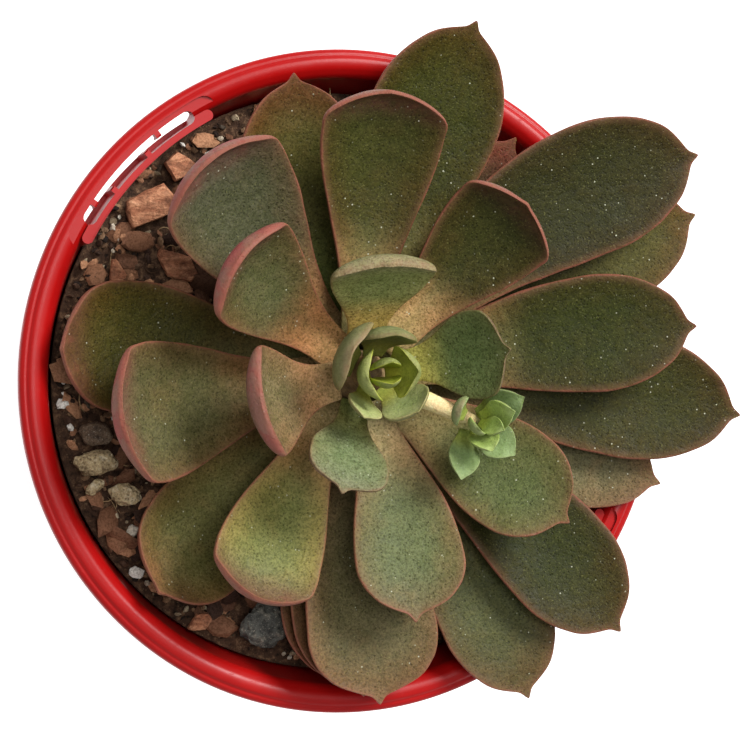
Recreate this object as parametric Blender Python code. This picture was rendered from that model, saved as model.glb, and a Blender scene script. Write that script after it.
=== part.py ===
"""Rosette succulent with one small offset, growing in a round moulded plastic pot.

Units are metres with +Z up. The origin is the centre of the flat underside of the pot.
Lengths in the tables and constants below are millimetres unless they end in _DEG or _SHARE.
"""

import math

import bmesh
import bpy
from mathutils import Vector
from mathutils.bvhtree import BVHTree

MM = 0.001
GAP = 0.3

# Pot
POT_HEIGHT = 125.0
BASE_RADIUS = 60.0
RIM_RADIUS = 85.0
MOUTH_RADIUS = 77.4
WALL = 1.6
FLOOR = 2.2
SKIRT_DROP = 7.0
SKIRT_WALL = 1.6
POT_SEGMENTS = 72
DRAIN_HOLES = 6
DRAIN_HOLE_RADIUS = 4.5
DRAIN_CIRCLE_RADIUS = 40.0

# Hanger slots through the flat of the rim
SLOT_MIDDLES_DEG = (136.1, 316.1)
SLOT_HALF_ANGLE_DEG = 13.0
SLOT_RADIUS = 78.5
SLOT_WIDTH = 3.4
SLOT_DROP = 11.4
PAD_HALF_ANGLE_DEG = 16.5
PAD_WIDTH = 6.2
PAD_DROP = 0.9
POCKET_RADIUS = 76.6
POCKET_WIDTH = 2.8
POCKET_DROP = 12.2
PEG_WIDTH = 1.5
PEG_REACH = 1.5
OUTER_PEG_SHARES = (-0.51, 0.80)
INNER_PEG_SHARES = (-0.23, 0.48)

# Soil
SOIL_TOP = 111.3
SOIL_RINGS = 8
SOIL_SEGMENTS = 48
SOIL_RELIEF = 0.9

# Stems
PLANT_X = -1.5
PLANT_Y = 2.0
STEM_RADIUS = 6.5
STEM_NECK_RADIUS = 3.2
STEM_ROOT_DEPTH = 12.0
STEM_SHOULDER = 141.0
STEM_TOP = 149.0
STEM_SEGMENTS = 20
OFFSET_X = 22.5
OFFSET_Y = -9.5
OFFSET_TOP = 153.5

# Leaves
RING_SIDES = (1.0, 0.74, 0.26, -0.26, -0.74, -1.0, -0.74, -0.26, 0.26, 0.74)
TOP_SIDE_COUNT = 6
TOP_THICKNESS_SHARE = 0.26
ROOT_WIDTH_SHARE = 0.36
STATIONS = (0.0, 0.10, 0.22, 0.36, 0.50, 0.62, 0.73, 0.82, 0.90, 0.955)
SMALL_STATIONS = (0.0, 0.16, 0.34, 0.52, 0.68, 0.81, 0.91, 0.965)
MIDRIB_SAMPLES = 48
REST_GAP = 0.75
REST_CELL = 1.0
REST_ROUNDS = 5
REST_SLOPE = 0.55

# Main leaves from the lowest to the highest. Columns: name, direction (degrees), reach from
# the plant's axis, tip height above the pot's rim, root height above the rim, rise at the
# root and at the tip (degrees), share of the length over which the tip bends, width,
# widest place (share of the length), bluntness of the tip, cupping (share of the half
# width), sideways sway of the middle, roll (degrees), thickness, sideways hook of the tip.
MAIN_LEAVES = (
    ("leaf_01", 269.5, 78.5, 3.0, -11.5, 2.0, 22.0, 0.34, 31.0, 0.76, 2.0, 0.16, -2.0, 0.0, 3.4, 0.0),
    ("leaf_02", 271.5, 80.0, 4.5, -10.0, 4.0, 20.0, 0.34, 32.0, 0.76, 2.0, 0.16, -2.0, 0.0, 3.4, 0.0),
    ("leaf_03", 54.0, 74.0, 3.0, -11.0, 4.0, 20.0, 0.34, 22.0, 0.66, 1.8, 0.14, 0.0, 0.0, 3.6, 0.0),
    ("leaf_04", 341.0, 88.0, 4.0, -11.0, 4.0, 12.0, 0.34, 28.0, 0.70, 1.8, 0.12, 0.0, 0.0, 3.8, 0.0),
    ("leaf_05", 228.5, 73.0, 5.0, -9.0, 2.0, 62.0, 0.26, 31.0, 0.70, 2.8, 0.22, -1.0, 0.0, 4.6, -1.5),
    ("leaf_06", 175.5, 74.0, 6.0, -9.0, 2.0, 60.0, 0.26, 33.0, 0.70, 2.8, 0.20, -2.5, 0.0, 4.6, 0.0),
    ("leaf_07", 104.5, 75.0, 8.0, -8.0, 6.0, 30.0, 0.30, 32.0, 0.70, 2.1, 0.20, 0.0, 0.0, 4.4, -2.5),
    ("leaf_08", 299.0, 94.0, 8.0, -8.0, 6.0, 12.0, 0.34, 30.0, 0.76, 2.0, 0.14, 4.5, 0.0, 4.4, 0.0),
    ("leaf_09", 25.0, 99.5, 10.0, -8.0, 8.0, 12.0, 0.34, 31.0, 0.74, 2.0, 0.14, 1.0, 0.0, 4.4, -1.0),
    ("leaf_10", 354.0, 103.0, 12.0, -7.0, 8.0, 14.0, 0.34, 33.0, 0.72, 1.9, 0.16, 2.5, 0.0, 4.6, 0.0),
    ("leaf_11", 275.0, 81.5, 7.0, -7.0, 5.0, 22.0, 0.34, 34.0, 0.80, 2.2, 0.18, -2.0, 0.0, 4.6, -2.2),
    ("leaf_12", 72.8, 92.0, 15.0, -7.0, 8.0, 26.0, 0.34, 35.0, 0.72, 1.9, 0.18, 0.5, 0.0, 4.6, -1.6),
    ("leaf_13", 316.0, 94.0, 15.0, -5.0, 10.0, 14.0, 0.34, 30.0, 0.76, 2.0, 0.16, 3.5, 0.0, 4.6, 0.0),
    ("leaf_14", 190.0, 63.0, 23.0, -4.0, 12.0, 108.0, 0.18, 34.0, 0.8, 3.2, 0.24, 0.0, 0.0, 4.8, 0.0),
    ("leaf_15", 129.5, 65.5, 27.0, -3.0, 14.0, 108.0, 0.18, 35.0, 0.8, 3.2, 0.26, 0.0, 0.0, 4.8, 0.0),
    ("leaf_16", 8.0, 86.5, 21.0, -2.0, 12.0, 14.0, 0.34, 30.0, 0.72, 2.0, 0.16, 2.0, 0.0, 4.8, 0.0),
    ("leaf_17", 34.5, 103.0, 20.0, -2.0, 12.0, 12.0, 0.34, 34.0, 0.72, 2.1, 0.16, 7.5, 0.0, 4.8, -3.0),
    ("leaf_18", 242.5, 61.5, 20.0, -1.0, 14.0, 100.0, 0.17, 28.0, 0.8, 3.2, 0.26, -1.0, 0.0, 4.8, 0.0),
    ("leaf_19", 88.0, 68.0, 29.0, 0.0, 16.0, 100.0, 0.17, 31.5, 0.84, 3.4, 0.3, 0.0, 0.0, 4.8, 0.0),
    ("leaf_20", 323.0, 60.5, 27.0, 2.0, 20.0, 30.0, 0.30, 28.0, 0.70, 2.6, 0.20, 1.0, 0.0, 4.8, 0.0),
    ("leaf_21", 280.5, 60.5, 24.0, 3.0, 18.0, 24.0, 0.32, 28.0, 0.76, 2.2, 0.20, 2.0, 0.0, 4.8, -0.8),
    ("leaf_22", 143.5, 45.0, 36.0, 6.0, 24.0, 114.0, 0.2, 28.0, 0.82, 3.2, 0.28, 0.0, 0.0, 4.6, 0.0),
    ("leaf_23", 49.5, 54.0, 35.0, 8.0, 26.0, 100.0, 0.18, 28.0, 0.84, 3.4, 0.3, 0.5, 0.0, 4.6, 0.0),
    ("leaf_24", 193.5, 31.5, 35.0, 10.0, 18.0, 118.0, 0.22, 27.0, 0.84, 3.2, 0.24, 0.0, 0.0, 4.2, 0.0),
    ("leaf_25", 249.0, 29.5, 32.0, 12.0, 30.0, 34.0, 0.30, 21.0, 0.72, 4.2, 0.16, 0.0, 0.0, 4.2, 0.0),
    ("leaf_26", 94.0, 25.5, 42.0, 13.0, 46.0, 120.0, 0.22, 26.0, 0.8, 3.0, 0.18, 0.0, 0.0, 4.2, 0.0),
    ("leaf_27", 11.0, 29.5, 37.0, 14.0, 38.0, 64.0, 0.28, 22.0, 0.74, 4.0, 0.26, 0.0, 0.0, 4.0, 0.0),
)

# Heart leaves, which stand round the top of the stem. The columns are those of the main
# leaves without the hook, and with the root's distance from the axis in place of the sway.
HEART_LEAVES = (
    ("heart_leaf_1", 152.0, 11.4, 39.5, 19.5, 36.0, 100.0, 0.34, 18.5, 0.64, 2.4, 0.34, 4.6, 0.0, 2.4),
    ("heart_leaf_2", 88.0, 9.0, 41.0, 20.5, 48.0, 104.0, 0.34, 14.0, 0.64, 2.4, 0.30, 4.4, 0.0, 2.2),
    ("heart_leaf_3", 308.0, 11.5, 36.0, 20.5, 40.0, 80.0, 0.34, 13.0, 0.66, 3.0, 0.26, 4.4, 0.0, 2.2),
    ("heart_leaf_4", 241.0, 12.0, 34.0, 21.5, 34.0, 60.0, 0.34, 9.5, 0.64, 3.0, 0.22, 4.4, 0.0, 2.0),
    ("heart_leaf_5", 5.0, 6.4, 38.5, 25.5, 62.0, 110.0, 0.34, 12.5, 0.60, 2.3, 0.62, 2.2, 0.0, 1.6),
    ("heart_leaf_6", 190.0, 6.4, 38.0, 25.5, 62.0, 112.0, 0.34, 12.5, 0.60, 2.3, 0.62, 2.2, 0.0, 1.6),
    ("heart_leaf_7", 95.0, 2.6, 38.0, 25.5, 80.0, 96.0, 0.34, 7.5, 0.55, 2.2, 0.4, 1.3, 0.0, 1.5),
    ("heart_leaf_8", 275.0, 2.6, 37.0, 25.5, 80.0, 96.0, 0.34, 7.5, 0.55, 2.2, 0.4, 1.3, 0.0, 1.5),
)

# Leaves of the offset, measured from the offset's own axis, with the same columns.
OFFSET_LEAVES = (
    ("offset_leaf_1", 256.0, 14.5, 29.0, 23.5, 6.0, 20.0, 0.34, 8.4, 0.62, 1.6, 0.30, 2.6, 0.0, 2.2),
    ("offset_leaf_2", 318.0, 12.5, 31.0, 24.5, 10.0, 24.0, 0.34, 9.6, 0.60, 1.6, 0.26, 2.6, 0.0, 2.2),
    ("offset_leaf_3", 28.0, 11.5, 35.0, 24.5, 24.0, 36.0, 0.34, 9.4, 0.60, 1.6, 0.30, 2.6, 0.0, 2.2),
    ("offset_leaf_4", 155.0, 6.8, 37.0, 28.5, 30.0, 100.0, 0.34, 7.6, 0.60, 2.0, 0.30, 2.7, 0.0, 2.0),
    ("offset_leaf_5", 18.0, 6.8, 38.5, 28.0, 44.0, 60.0, 0.34, 7.8, 0.60, 1.7, 0.30, 1.8, 0.0, 1.8),
    ("offset_leaf_6", 285.0, 7.4, 35.5, 27.5, 36.0, 52.0, 0.34, 7.6, 0.60, 1.7, 0.30, 1.8, 0.0, 1.8),
    ("offset_leaf_7", 225.0, 3.0, 38.0, 29.5, 70.0, 96.0, 0.34, 5.6, 0.58, 1.8, 0.34, 1.1, 0.0, 1.5),
    ("offset_leaf_8", 330.0, 4.4, 38.5, 29.5, 62.0, 70.0, 0.34, 5.0, 0.58, 1.7, 0.34, 1.2, 0.0, 1.5),
)

# Loose pieces on the soil. Columns: name, x, y, length, width, height, heading (degrees),
# tilt (degrees), corner style.
CHIPS = (
    ("bark_chip_1", -49.0, 43.0, 18.5, 15.0, 2.4, 62.0, 4.0, 4),
    ("bark_chip_2", -43.5, 29.5, 13.5, 8.0, 2.4, -12.0, -5.0, 6),
    ("bark_chip_3", -59.0, 27.5, 8.5, 5.5, 2.2, 80.0, 6.0, 5),
    ("bark_chip_4", -43.0, 54.5, 9.0, 7.5, 3.4, 15.0, -9.0, 7),
    ("bark_chip_5", -37.6, -61.6, 7.0, 5.5, 2.4, 60.0, 6.0, 6),
)
STONES = (
    ("pumice_1", -64.5, -20.5, 11.5, 6.6, 4.4, 4.0, 0.16, 3),
    ("pumice_2", -57.0, -28.6, 8.6, 5.8, 3.8, -14.0, 0.16, 11),
    ("pumice_3", -64.6, -26.6, 5.6, 3.2, 2.6, 40.0, 0.18, 23),
    ("grey_stone", -64.5, -13.2, 8.8, 6.4, 4.2, -8.0, 0.12, 31),
    ("dark_stone", -20.8, -62.6, 14.0, 12.0, 5.2, 20.0, 0.14, 43),
)
TWIG = ("twig", -0.4, 69.6, 14.0, 1.6, -33.0, 8.0)


def material(name, colour, roughness):
    """A plain Principled material."""
    made = bpy.data.materials.new(name)
    made.use_nodes = True
    shader = made.node_tree.nodes["Principled BSDF"]
    shader.inputs["Base Color"].default_value = (*colour, 1.0)
    shader.inputs["Roughness"].default_value = roughness
    made.diffuse_color = (*colour, 1.0)
    return made


def add_object(name, points, faces, paint, smooth=True):
    """A mesh object from points in millimetres, with its faces turned outwards."""
    mesh = bpy.data.meshes.new(name)
    mesh.from_pydata([Vector(p) * MM for p in points], [], faces)
    bm = bmesh.new()
    bm.from_mesh(mesh)
    bmesh.ops.recalc_face_normals(bm, faces=bm.faces)
    if bm.calc_volume(signed=True) < 0:
        bmesh.ops.reverse_faces(bm, faces=bm.faces)
    bm.to_mesh(mesh)
    bm.free()
    mesh.polygons.foreach_set("use_smooth", [smooth] * len(mesh.polygons))
    mesh.materials.append(paint)
    obj = bpy.data.objects.new(name, mesh)
    bpy.context.scene.collection.objects.link(obj)
    return obj


def ring_faces(ring_count, size, first=0):
    """Quads between neighbouring closed rings of points."""
    faces = []
    for ring in range(ring_count - 1):
        here = first + ring * size
        for i in range(size):
            j = (i + 1) % size
            faces.append((here + i, here + j, here + size + j, here + size + i))
    return faces


def fan_faces(centre, start, size):
    """Triangles from one point to a closed ring."""
    return [(centre, start + i, start + (i + 1) % size) for i in range(size)]


def lathe(profile, segments):
    """Points and faces of a profile turned about Z. It starts and ends on the axis."""
    points = []
    for radius, height in profile[1:-1]:
        for i in range(segments):
            angle = 2 * math.pi * i / segments
            points.append((radius * math.cos(angle), radius * math.sin(angle), height))
    faces = ring_faces(len(profile) - 2, segments)
    points.append((0.0, 0.0, profile[0][1]))
    points.append((0.0, 0.0, profile[-1][1]))
    faces += fan_faces(len(points) - 2, 0, segments)
    faces += fan_faces(len(points) - 1, (len(profile) - 3) * segments, segments)
    return points, faces


def prism(outline, bottom, top):
    """Points and faces of a flat outline pushed up from bottom to top."""
    count = len(outline)
    points = [(x, y, bottom) for x, y in outline] + [(x, y, top) for x, y in outline]
    faces = ring_faces(2, count)
    faces.append(tuple(range(count)))
    faces.append(tuple(range(count, 2 * count)))
    return points, faces


def combine(target, name, points, faces, operation="DIFFERENCE"):
    """Takes a hidden helper shape away from the target, or joins it on."""
    cutter = add_object(name, points, faces, target.data.materials[0], smooth=False)
    cutter.hide_render = True
    cutter.display_type = "WIRE"
    modifier = target.modifiers.new(name, "BOOLEAN")
    modifier.operation = operation
    modifier.solver = "EXACT"
    modifier.object = cutter


def polar(radius, angle):
    return (radius * math.cos(angle), radius * math.sin(angle))


def arc_strip(middle, half_angle, radius, width):
    """A strip along the rim with round ends, as an outline."""
    steps = 14
    outline = []
    for i in range(steps + 1):
        angle = middle - half_angle + 2 * half_angle * i / steps
        outline.append(polar(radius + width / 2, angle))
    for end, side in ((half_angle, 1.0), (-half_angle, -1.0)):
        centre = Vector(polar(radius, middle + end))
        facing = middle + end
        for i in range(1, 6):
            turn = facing + (math.pi * i / 6 if side > 0 else math.pi + math.pi * i / 6)
            outline.append(tuple(centre + Vector(polar(width / 2, turn))))
        if side > 0:
            for i in range(steps + 1):
                angle = middle + half_angle - 2 * half_angle * i / steps
                outline.append(polar(radius - width / 2, angle))
    return outline


def slot_outline(middle, half_angle, width):
    """The slot's outline, with small square pegs left standing on both long edges."""
    peg_half = PEG_WIDTH / 2 / SLOT_RADIUS
    strip = arc_strip(middle, half_angle, SLOT_RADIUS, width)
    steps = 14
    outer = strip[: steps + 1]
    far_end = strip[steps + 1 : steps + 6]
    inner = strip[steps + 6 : 2 * steps + 7]
    near_end = strip[2 * steps + 7 :]
    outer_edge = SLOT_RADIUS + width / 2
    inner_edge = SLOT_RADIUS - width / 2
    outer = notched(outer, middle, half_angle, OUTER_PEG_SHARES, outer_edge, -PEG_REACH, peg_half)
    inner = notched(inner, middle, half_angle, INNER_PEG_SHARES, inner_edge, PEG_REACH, peg_half)
    return outer + far_end + inner + near_end


def notched(edge, middle, half_angle, shares, radius, reach, peg_half):
    """The same edge with each peg's four corners put in, in the edge's own order."""
    kept = []
    for point in edge:
        angle = math.atan2(point[1], point[0])
        away = [abs(turned(angle - middle - share * half_angle)) for share in shares]
        if min(away) > 1.6 * peg_half:
            kept.append((turned(angle - middle), point))
    for share in shares:
        peg = share * half_angle
        side = peg_half * 0.98
        for offset, size in ((-peg_half, 0.0), (-side, reach), (side, reach), (peg_half, 0.0)):
            kept.append((peg + offset, polar(radius + size, middle + peg + offset)))
    falling = turned(math.atan2(edge[-1][1], edge[-1][0]) - math.atan2(edge[0][1], edge[0][0])) < 0
    kept.sort(key=lambda item: item[0], reverse=falling)
    return [point for _, point in kept]


def turned(angle):
    """The angle brought to between minus and plus half a turn."""
    return (angle + math.pi) % (2 * math.pi) - math.pi


def inner_wall_radius(height):
    """Radius of the pot's inside at a height."""
    share = (height - FLOOR) / (POT_HEIGHT - 4.0 - FLOOR)
    return BASE_RADIUS - WALL + (MOUTH_RADIUS - BASE_RADIUS + WALL) * share


def make_pot(paint):
    """The pot: tapered wall, rolled rim with an outer skirt, two hanger slots, drain holes."""
    top = POT_HEIGHT
    outer_top = MOUTH_RADIUS + WALL
    profile = [
        (0.0, 0.0),
        (BASE_RADIUS - 1.5, 0.0),
        (BASE_RADIUS, 1.5),
        (outer_top, top - 4.6),
        (outer_top + 0.5, top - 3.2),
        (RIM_RADIUS - SKIRT_WALL - 1.4, top - 2.2),
        (RIM_RADIUS - SKIRT_WALL - 0.4, top - 3.2),
        (RIM_RADIUS - SKIRT_WALL - 0.8, top - SKIRT_DROP),
        (RIM_RADIUS - 1.2, top - SKIRT_DROP),
        (RIM_RADIUS - 0.6, top - SKIRT_DROP + 0.8),
        (RIM_RADIUS, top - 3.0),
        (RIM_RADIUS - 0.3, top - 1.6),
        (RIM_RADIUS - 1.2, top - 0.7),
        (RIM_RADIUS - 2.0, top - 0.55),
        (RIM_RADIUS - 2.9, top - 0.1),
        (RIM_RADIUS - 4.0, top),
        (RIM_RADIUS - 4.9, top - 0.25),
        (RIM_RADIUS - 5.7, top - 0.8),
        (MOUTH_RADIUS + 0.9, top - 1.7),
        (MOUTH_RADIUS + 0.3, top - 2.6),
        (MOUTH_RADIUS, top - 4.0),
        (BASE_RADIUS - WALL, FLOOR + 1.6),
        (BASE_RADIUS - WALL - 1.6, FLOOR),
        (0.0, FLOOR),
    ]
    points, faces = lathe(profile, POT_SEGMENTS)
    pot = add_object("pot", points, faces, paint)
    for index, middle in enumerate(SLOT_MIDDLES_DEG):
        middle = math.radians(middle)
        half_angle = math.radians(PAD_HALF_ANGLE_DEG)
        pocket = arc_strip(middle, half_angle, POCKET_RADIUS, POCKET_WIDTH)
        points, faces = prism(pocket, top - POCKET_DROP, top - PAD_DROP + 0.3)
        combine(pot, f"pocket_wall_{index}", points, faces, "UNION")
        pad = arc_strip(middle, half_angle, SLOT_RADIUS, PAD_WIDTH)
        points, faces = prism(pad, top - PAD_DROP, top + 3.0)
        combine(pot, f"pad_cutter_{index}", points, faces)
        slot = slot_outline(middle, math.radians(SLOT_HALF_ANGLE_DEG), SLOT_WIDTH)
        points, faces = prism(slot, top - SLOT_DROP, top + 3.0)
        combine(pot, f"slot_cutter_{index}", points, faces)
    for index in range(DRAIN_HOLES):
        angle = 2 * math.pi * (index + 0.37) / DRAIN_HOLES
        x, y = polar(DRAIN_CIRCLE_RADIUS, angle)
        hole = []
        for i in range(20):
            dx, dy = polar(DRAIN_HOLE_RADIUS, 2 * math.pi * i / 20 + 0.11)
            hole.append((x + dx, y + dy))
        points, faces = prism(hole, -2.0, FLOOR + 2.0)
        combine(pot, f"drain_cutter_{index}", points, faces)
    return pot


def soil_height(x, y):
    """Height of the soil's gently uneven top."""
    waves = math.sin(x / 9.0 + 0.6) * math.cos(y / 8.0) + 0.5 * math.sin((x + y) / 4.7 + 1.1)
    return SOIL_TOP + SOIL_RELIEF * 0.6 * waves


def make_soil(paint):
    """The soil, one body that fills the pot, with a hole round each stem's buried part."""
    bottom = FLOOR + GAP
    points = []
    for height, inset in ((bottom, 1.9), (bottom + 1.8, 0.0), (SOIL_TOP * 0.5, 0.0)):
        radius = inner_wall_radius(height) - 2 * GAP - inset
        points += [(*polar(radius, 2 * math.pi * i / SOIL_SEGMENTS), height) for i in range(SOIL_SEGMENTS)]
    edge = inner_wall_radius(SOIL_TOP - 1.5) - 2 * GAP
    for ring in range(SOIL_RINGS):
        radius = edge * (1.0 - ring / SOIL_RINGS)
        for i in range(SOIL_SEGMENTS):
            x, y = polar(radius, 2 * math.pi * i / SOIL_SEGMENTS)
            points.append((x, y, soil_height(x, y) - (0.8 if ring == 0 else 0.0)))
    faces = ring_faces(SOIL_RINGS + 3, SOIL_SEGMENTS)
    points.append((0.0, 0.0, bottom))
    points.append((0.0, 0.0, soil_height(0.0, 0.0)))
    faces += fan_faces(len(points) - 2, 0, SOIL_SEGMENTS)
    faces += fan_faces(len(points) - 1, (SOIL_RINGS + 2) * SOIL_SEGMENTS, SOIL_SEGMENTS)
    soil = add_object("soil", points, faces, paint)
    hole = []
    for i in range(STEM_SEGMENTS):
        dx, dy = polar(STEM_RADIUS + 2 * GAP, 2 * math.pi * i / STEM_SEGMENTS)
        hole.append((PLANT_X + dx, PLANT_Y + dy))
    points, faces = prism(hole, SOIL_TOP - STEM_ROOT_DEPTH, SOIL_TOP + 8.0)
    combine(soil, "stem_hole_cutter", points, faces)
    return soil


def tube(path, radii, sides):
    """Points and faces of a round tube along a path, with slightly domed ends."""
    points = []
    for index, centre in enumerate(path):
        before = path[max(index - 1, 0)]
        after = path[min(index + 1, len(path) - 1)]
        along = (after - before).normalized()
        across = along.cross(Vector((0.0, 1.0, 0.0)))
        if across.length < 0.2:
            across = along.cross(Vector((1.0, 0.0, 0.0)))
        across.normalize()
        other = along.cross(across)
        for i in range(sides):
            angle = 2 * math.pi * i / sides
            ring_point = across * math.cos(angle) + other * math.sin(angle)
            points.append(centre + ring_point * radii[index])
    faces = ring_faces(len(path), sides)
    first_way = (path[0] - path[1]).normalized()
    last_way = (path[-1] - path[-2]).normalized()
    points.append(path[0] + first_way * radii[0] * 0.2)
    points.append(path[-1] + last_way * radii[-1] * 0.2)
    faces += fan_faces(len(points) - 2, 0, sides)
    faces += fan_faces(len(points) - 1, (len(path) - 1) * sides, sides)
    return points, faces


def make_stem(paint):
    """The plant's short upright stem, from inside the soil to under the heart."""
    bottom = SOIL_TOP - STEM_ROOT_DEPTH + 2.0
    heights = (bottom, SOIL_TOP, STEM_SHOULDER - 8.0, STEM_SHOULDER, STEM_TOP - 2.0, STEM_TOP)
    radii = (STEM_RADIUS * 0.92, STEM_RADIUS, STEM_RADIUS * 0.96, STEM_RADIUS * 0.82, STEM_NECK_RADIUS, 1.6)
    path = [Vector((PLANT_X, PLANT_Y, z)) for z in heights]
    points, faces = tube(path, radii, STEM_SEGMENTS)
    return add_object("stem", points, faces, paint)


def make_offset_stem(paint):
    """The offset's stalk, which leaves the main stem near its top and bends up."""
    start = Vector((PLANT_X + 7.0, PLANT_Y - 3.6, 144.2))
    end = Vector((OFFSET_X, OFFSET_Y, OFFSET_TOP))
    path = [start]
    path.append(start.lerp(end, 0.30) + Vector((0.0, 0.0, -0.4)))
    path.append(start.lerp(end, 0.60) + Vector((0.0, 0.0, -1.4)))
    path.append(Vector((OFFSET_X - 2.6, OFFSET_Y + 1.2, OFFSET_TOP - 4.8)))
    path.append(end)
    points, faces = tube(path, (2.5, 2.4, 2.2, 1.9, 1.3), 12)
    return add_object("offset_stem", points, faces, paint)


def bezier(controls, t):
    a, b, c, d = controls
    s = 1.0 - t
    return a * s ** 3 + b * 3 * s * s * t + c * 3 * s * t * t + d * t ** 3


def midrib(axis, leaf, root_radius, sway):
    """Points along a leaf's midrib, with the share of the length at each."""
    direction = math.radians(leaf["direction"])
    out = Vector((math.cos(direction), math.sin(direction), 0.0))
    side = Vector((-math.sin(direction), math.cos(direction), 0.0))
    up = Vector((0.0, 0.0, 1.0))
    base = Vector((axis[0], axis[1], POT_HEIGHT))
    start = base + out * root_radius + up * leaf["root_height"]
    end = base + out * leaf["reach"] + up * leaf["tip_height"]
    span = (end - start).length
    rise = math.radians(leaf["rise_root"])
    bend = math.radians(leaf["rise_tip"])
    leave = (out * math.cos(rise) + up * math.sin(rise)) * span * 0.34
    arrive = (out * math.cos(bend) + up * math.sin(bend)) * span * leaf["tip_share"]
    controls = (start, start + leave, end - arrive, end)
    path = []
    for i in range(MIDRIB_SAMPLES + 1):
        t = i / MIDRIB_SAMPLES
        sideways = sway * math.sin(math.pi * t) + leaf.get("hook", 0.0) * t ** 4
        path.append(bezier(controls, t) + side * sideways)
    lengths = [0.0]
    for before, after in zip(path, path[1:]):
        lengths.append(lengths[-1] + (after - before).length)
    return path, [length / lengths[-1] for length in lengths], side


def at_share(path, shares, share):
    """Point and direction of the midrib at a share of its length."""
    index = 1
    while index < len(shares) - 1 and shares[index] < share:
        index += 1
    step = shares[index] - shares[index - 1]
    mix = (share - shares[index - 1]) / step
    point = path[index - 1].lerp(path[index], mix)
    after = path[min(index + 1, len(path) - 1)]
    before = path[max(index - 2, 0)]
    return point, (after - before).normalized()


def width_share(share, widest, bluntness):
    """Half width of a leaf as a share of its largest. A blunter leaf has a slimmer waist."""
    if share < widest:
        waist = 0.6 + 0.6 * bluntness
        growth = math.sin(math.pi / 2 * (share / widest)) ** waist
        return ROOT_WIDTH_SHARE + (1.0 - ROOT_WIDTH_SHARE) * growth
    past = (share - widest) / (1.0 - widest)
    return (1.0 - past ** bluntness) ** 0.62


def thickness_share(share):
    """Thickness of a leaf as a share of its largest."""
    rise = 0.60 + 0.40 * math.sin(math.pi / 2 * min(share / 0.55, 1.0))
    fall = 1.0 - 0.72 * max((share - 0.6) / 0.4, 0.0) ** 2.2
    return rise * fall


def leaf_rings(axis, leaf, stations, root_radius, lifts):
    """Rings of points round a leaf, from its root to near its tip, then the two end points."""
    path, shares, side = midrib(axis, leaf, root_radius, leaf["sway"])
    rings = []
    for index, station in enumerate(stations):
        centre, along = at_share(path, shares, station)
        centre = centre + Vector((0.0, 0.0, lifts[index]))
        across = (side - along * side.dot(along)).normalized()
        normal = along.cross(across)
        roll = math.radians(leaf["roll"]) * station
        tilted = across * math.cos(roll) + normal * math.sin(roll)
        facing = normal * math.cos(roll) - across * math.sin(roll)
        half = leaf["width"] / 2 * width_share(station, leaf["widest"], leaf["bluntness"])
        thick = leaf["thickness"] * thickness_share(station)
        cup = leaf["cup"] * half * min(1.0, 0.35 + station * 1.3)
        ring = []
        for spot, share in enumerate(RING_SIDES):
            raised = cup * share * share
            full = (1.0 - abs(share) ** 2.4) ** 0.75
            if spot < TOP_SIDE_COUNT:
                raised += thick * TOP_THICKNESS_SHARE * full
            else:
                raised -= thick * (1.0 - TOP_THICKNESS_SHARE) * full
            ring.append(centre + tilted * (share * half) + facing * raised)
        rings.append(ring)
    root, root_way = at_share(path, shares, 0.0)
    tip, _ = at_share(path, shares, 1.0)
    heel = root - root_way * 0.25 + Vector((0.0, 0.0, lifts[0] - 0.2))
    point = tip + Vector((0.0, 0.0, lifts[-1]))
    return rings, heel, point


def leaf_mesh(rings, heel, point):
    size = len(rings[0])
    points = [p for ring in rings for p in ring] + [heel, point]
    faces = ring_faces(len(rings), size)
    faces += fan_faces(len(points) - 2, 0, size)
    faces += fan_faces(len(points) - 1, (len(rings) - 1) * size, size)
    return points, faces


class Canopy:
    """Height of the highest surface so far in each cell of a square grid."""

    def __init__(self):
        self.heights = {}

    def resting_height(self, cell):
        if cell in self.heights:
            return self.heights[cell]
        x, y = cell[0] * REST_CELL, cell[1] * REST_CELL
        radius = math.hypot(x, y)
        if radius > RIM_RADIUS + 0.5:
            return 0.0
        if radius > MOUTH_RADIUS - 0.5:
            return POT_HEIGHT
        return SOIL_TOP + SOIL_RELIEF

    def cells_under(self, points):
        low_x = int(math.floor(min(p[0] for p in points) / REST_CELL))
        high_x = int(math.ceil(max(p[0] for p in points) / REST_CELL))
        low_y = int(math.floor(min(p[1] for p in points) / REST_CELL))
        high_y = int(math.ceil(max(p[1] for p in points) / REST_CELL))
        for i in range(low_x, high_x + 1):
            for j in range(low_y, high_y + 1):
                yield (i, j)

    def shortfalls(self, points, faces):
        """Where a body comes too near what lies under it: each cell's place and how far."""
        tree = BVHTree.FromPolygons(points, faces)
        up = Vector((0.0, 0.0, 1.0))
        for cell in self.cells_under(points):
            place = Vector((cell[0] * REST_CELL, cell[1] * REST_CELL, -1.0))
            hit = tree.ray_cast(place, up)[0]
            if hit is None:
                continue
            short = self.resting_height(cell) + REST_GAP - hit.z
            if short > 0.0:
                yield hit, short

    def cover(self, points, faces):
        """Adds a body's upper surface, spread by one cell so that thin edges count."""
        tree = BVHTree.FromPolygons(points, faces)
        down = Vector((0.0, 0.0, -1.0))
        for cell in self.cells_under(points):
            place = Vector((cell[0] * REST_CELL, cell[1] * REST_CELL, 2 * POT_HEIGHT))
            hit = tree.ray_cast(place, down)[0]
            if hit is None:
                continue
            for di, dj in ((0, 0), (1, 0), (-1, 0), (0, 1), (0, -1)):
                near = (cell[0] + di, cell[1] + dj)
                self.heights[near] = max(self.heights.get(near, 0.0), hit.z)


def leaf_record(row):
    keys = ("name", "direction", "reach", "tip_height", "root_height", "rise_root", "rise_tip")
    keys += ("tip_share", "width", "widest", "bluntness", "cup", "sway", "roll", "thickness")
    keys += ("hook",)
    return dict(zip(keys, row))


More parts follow.
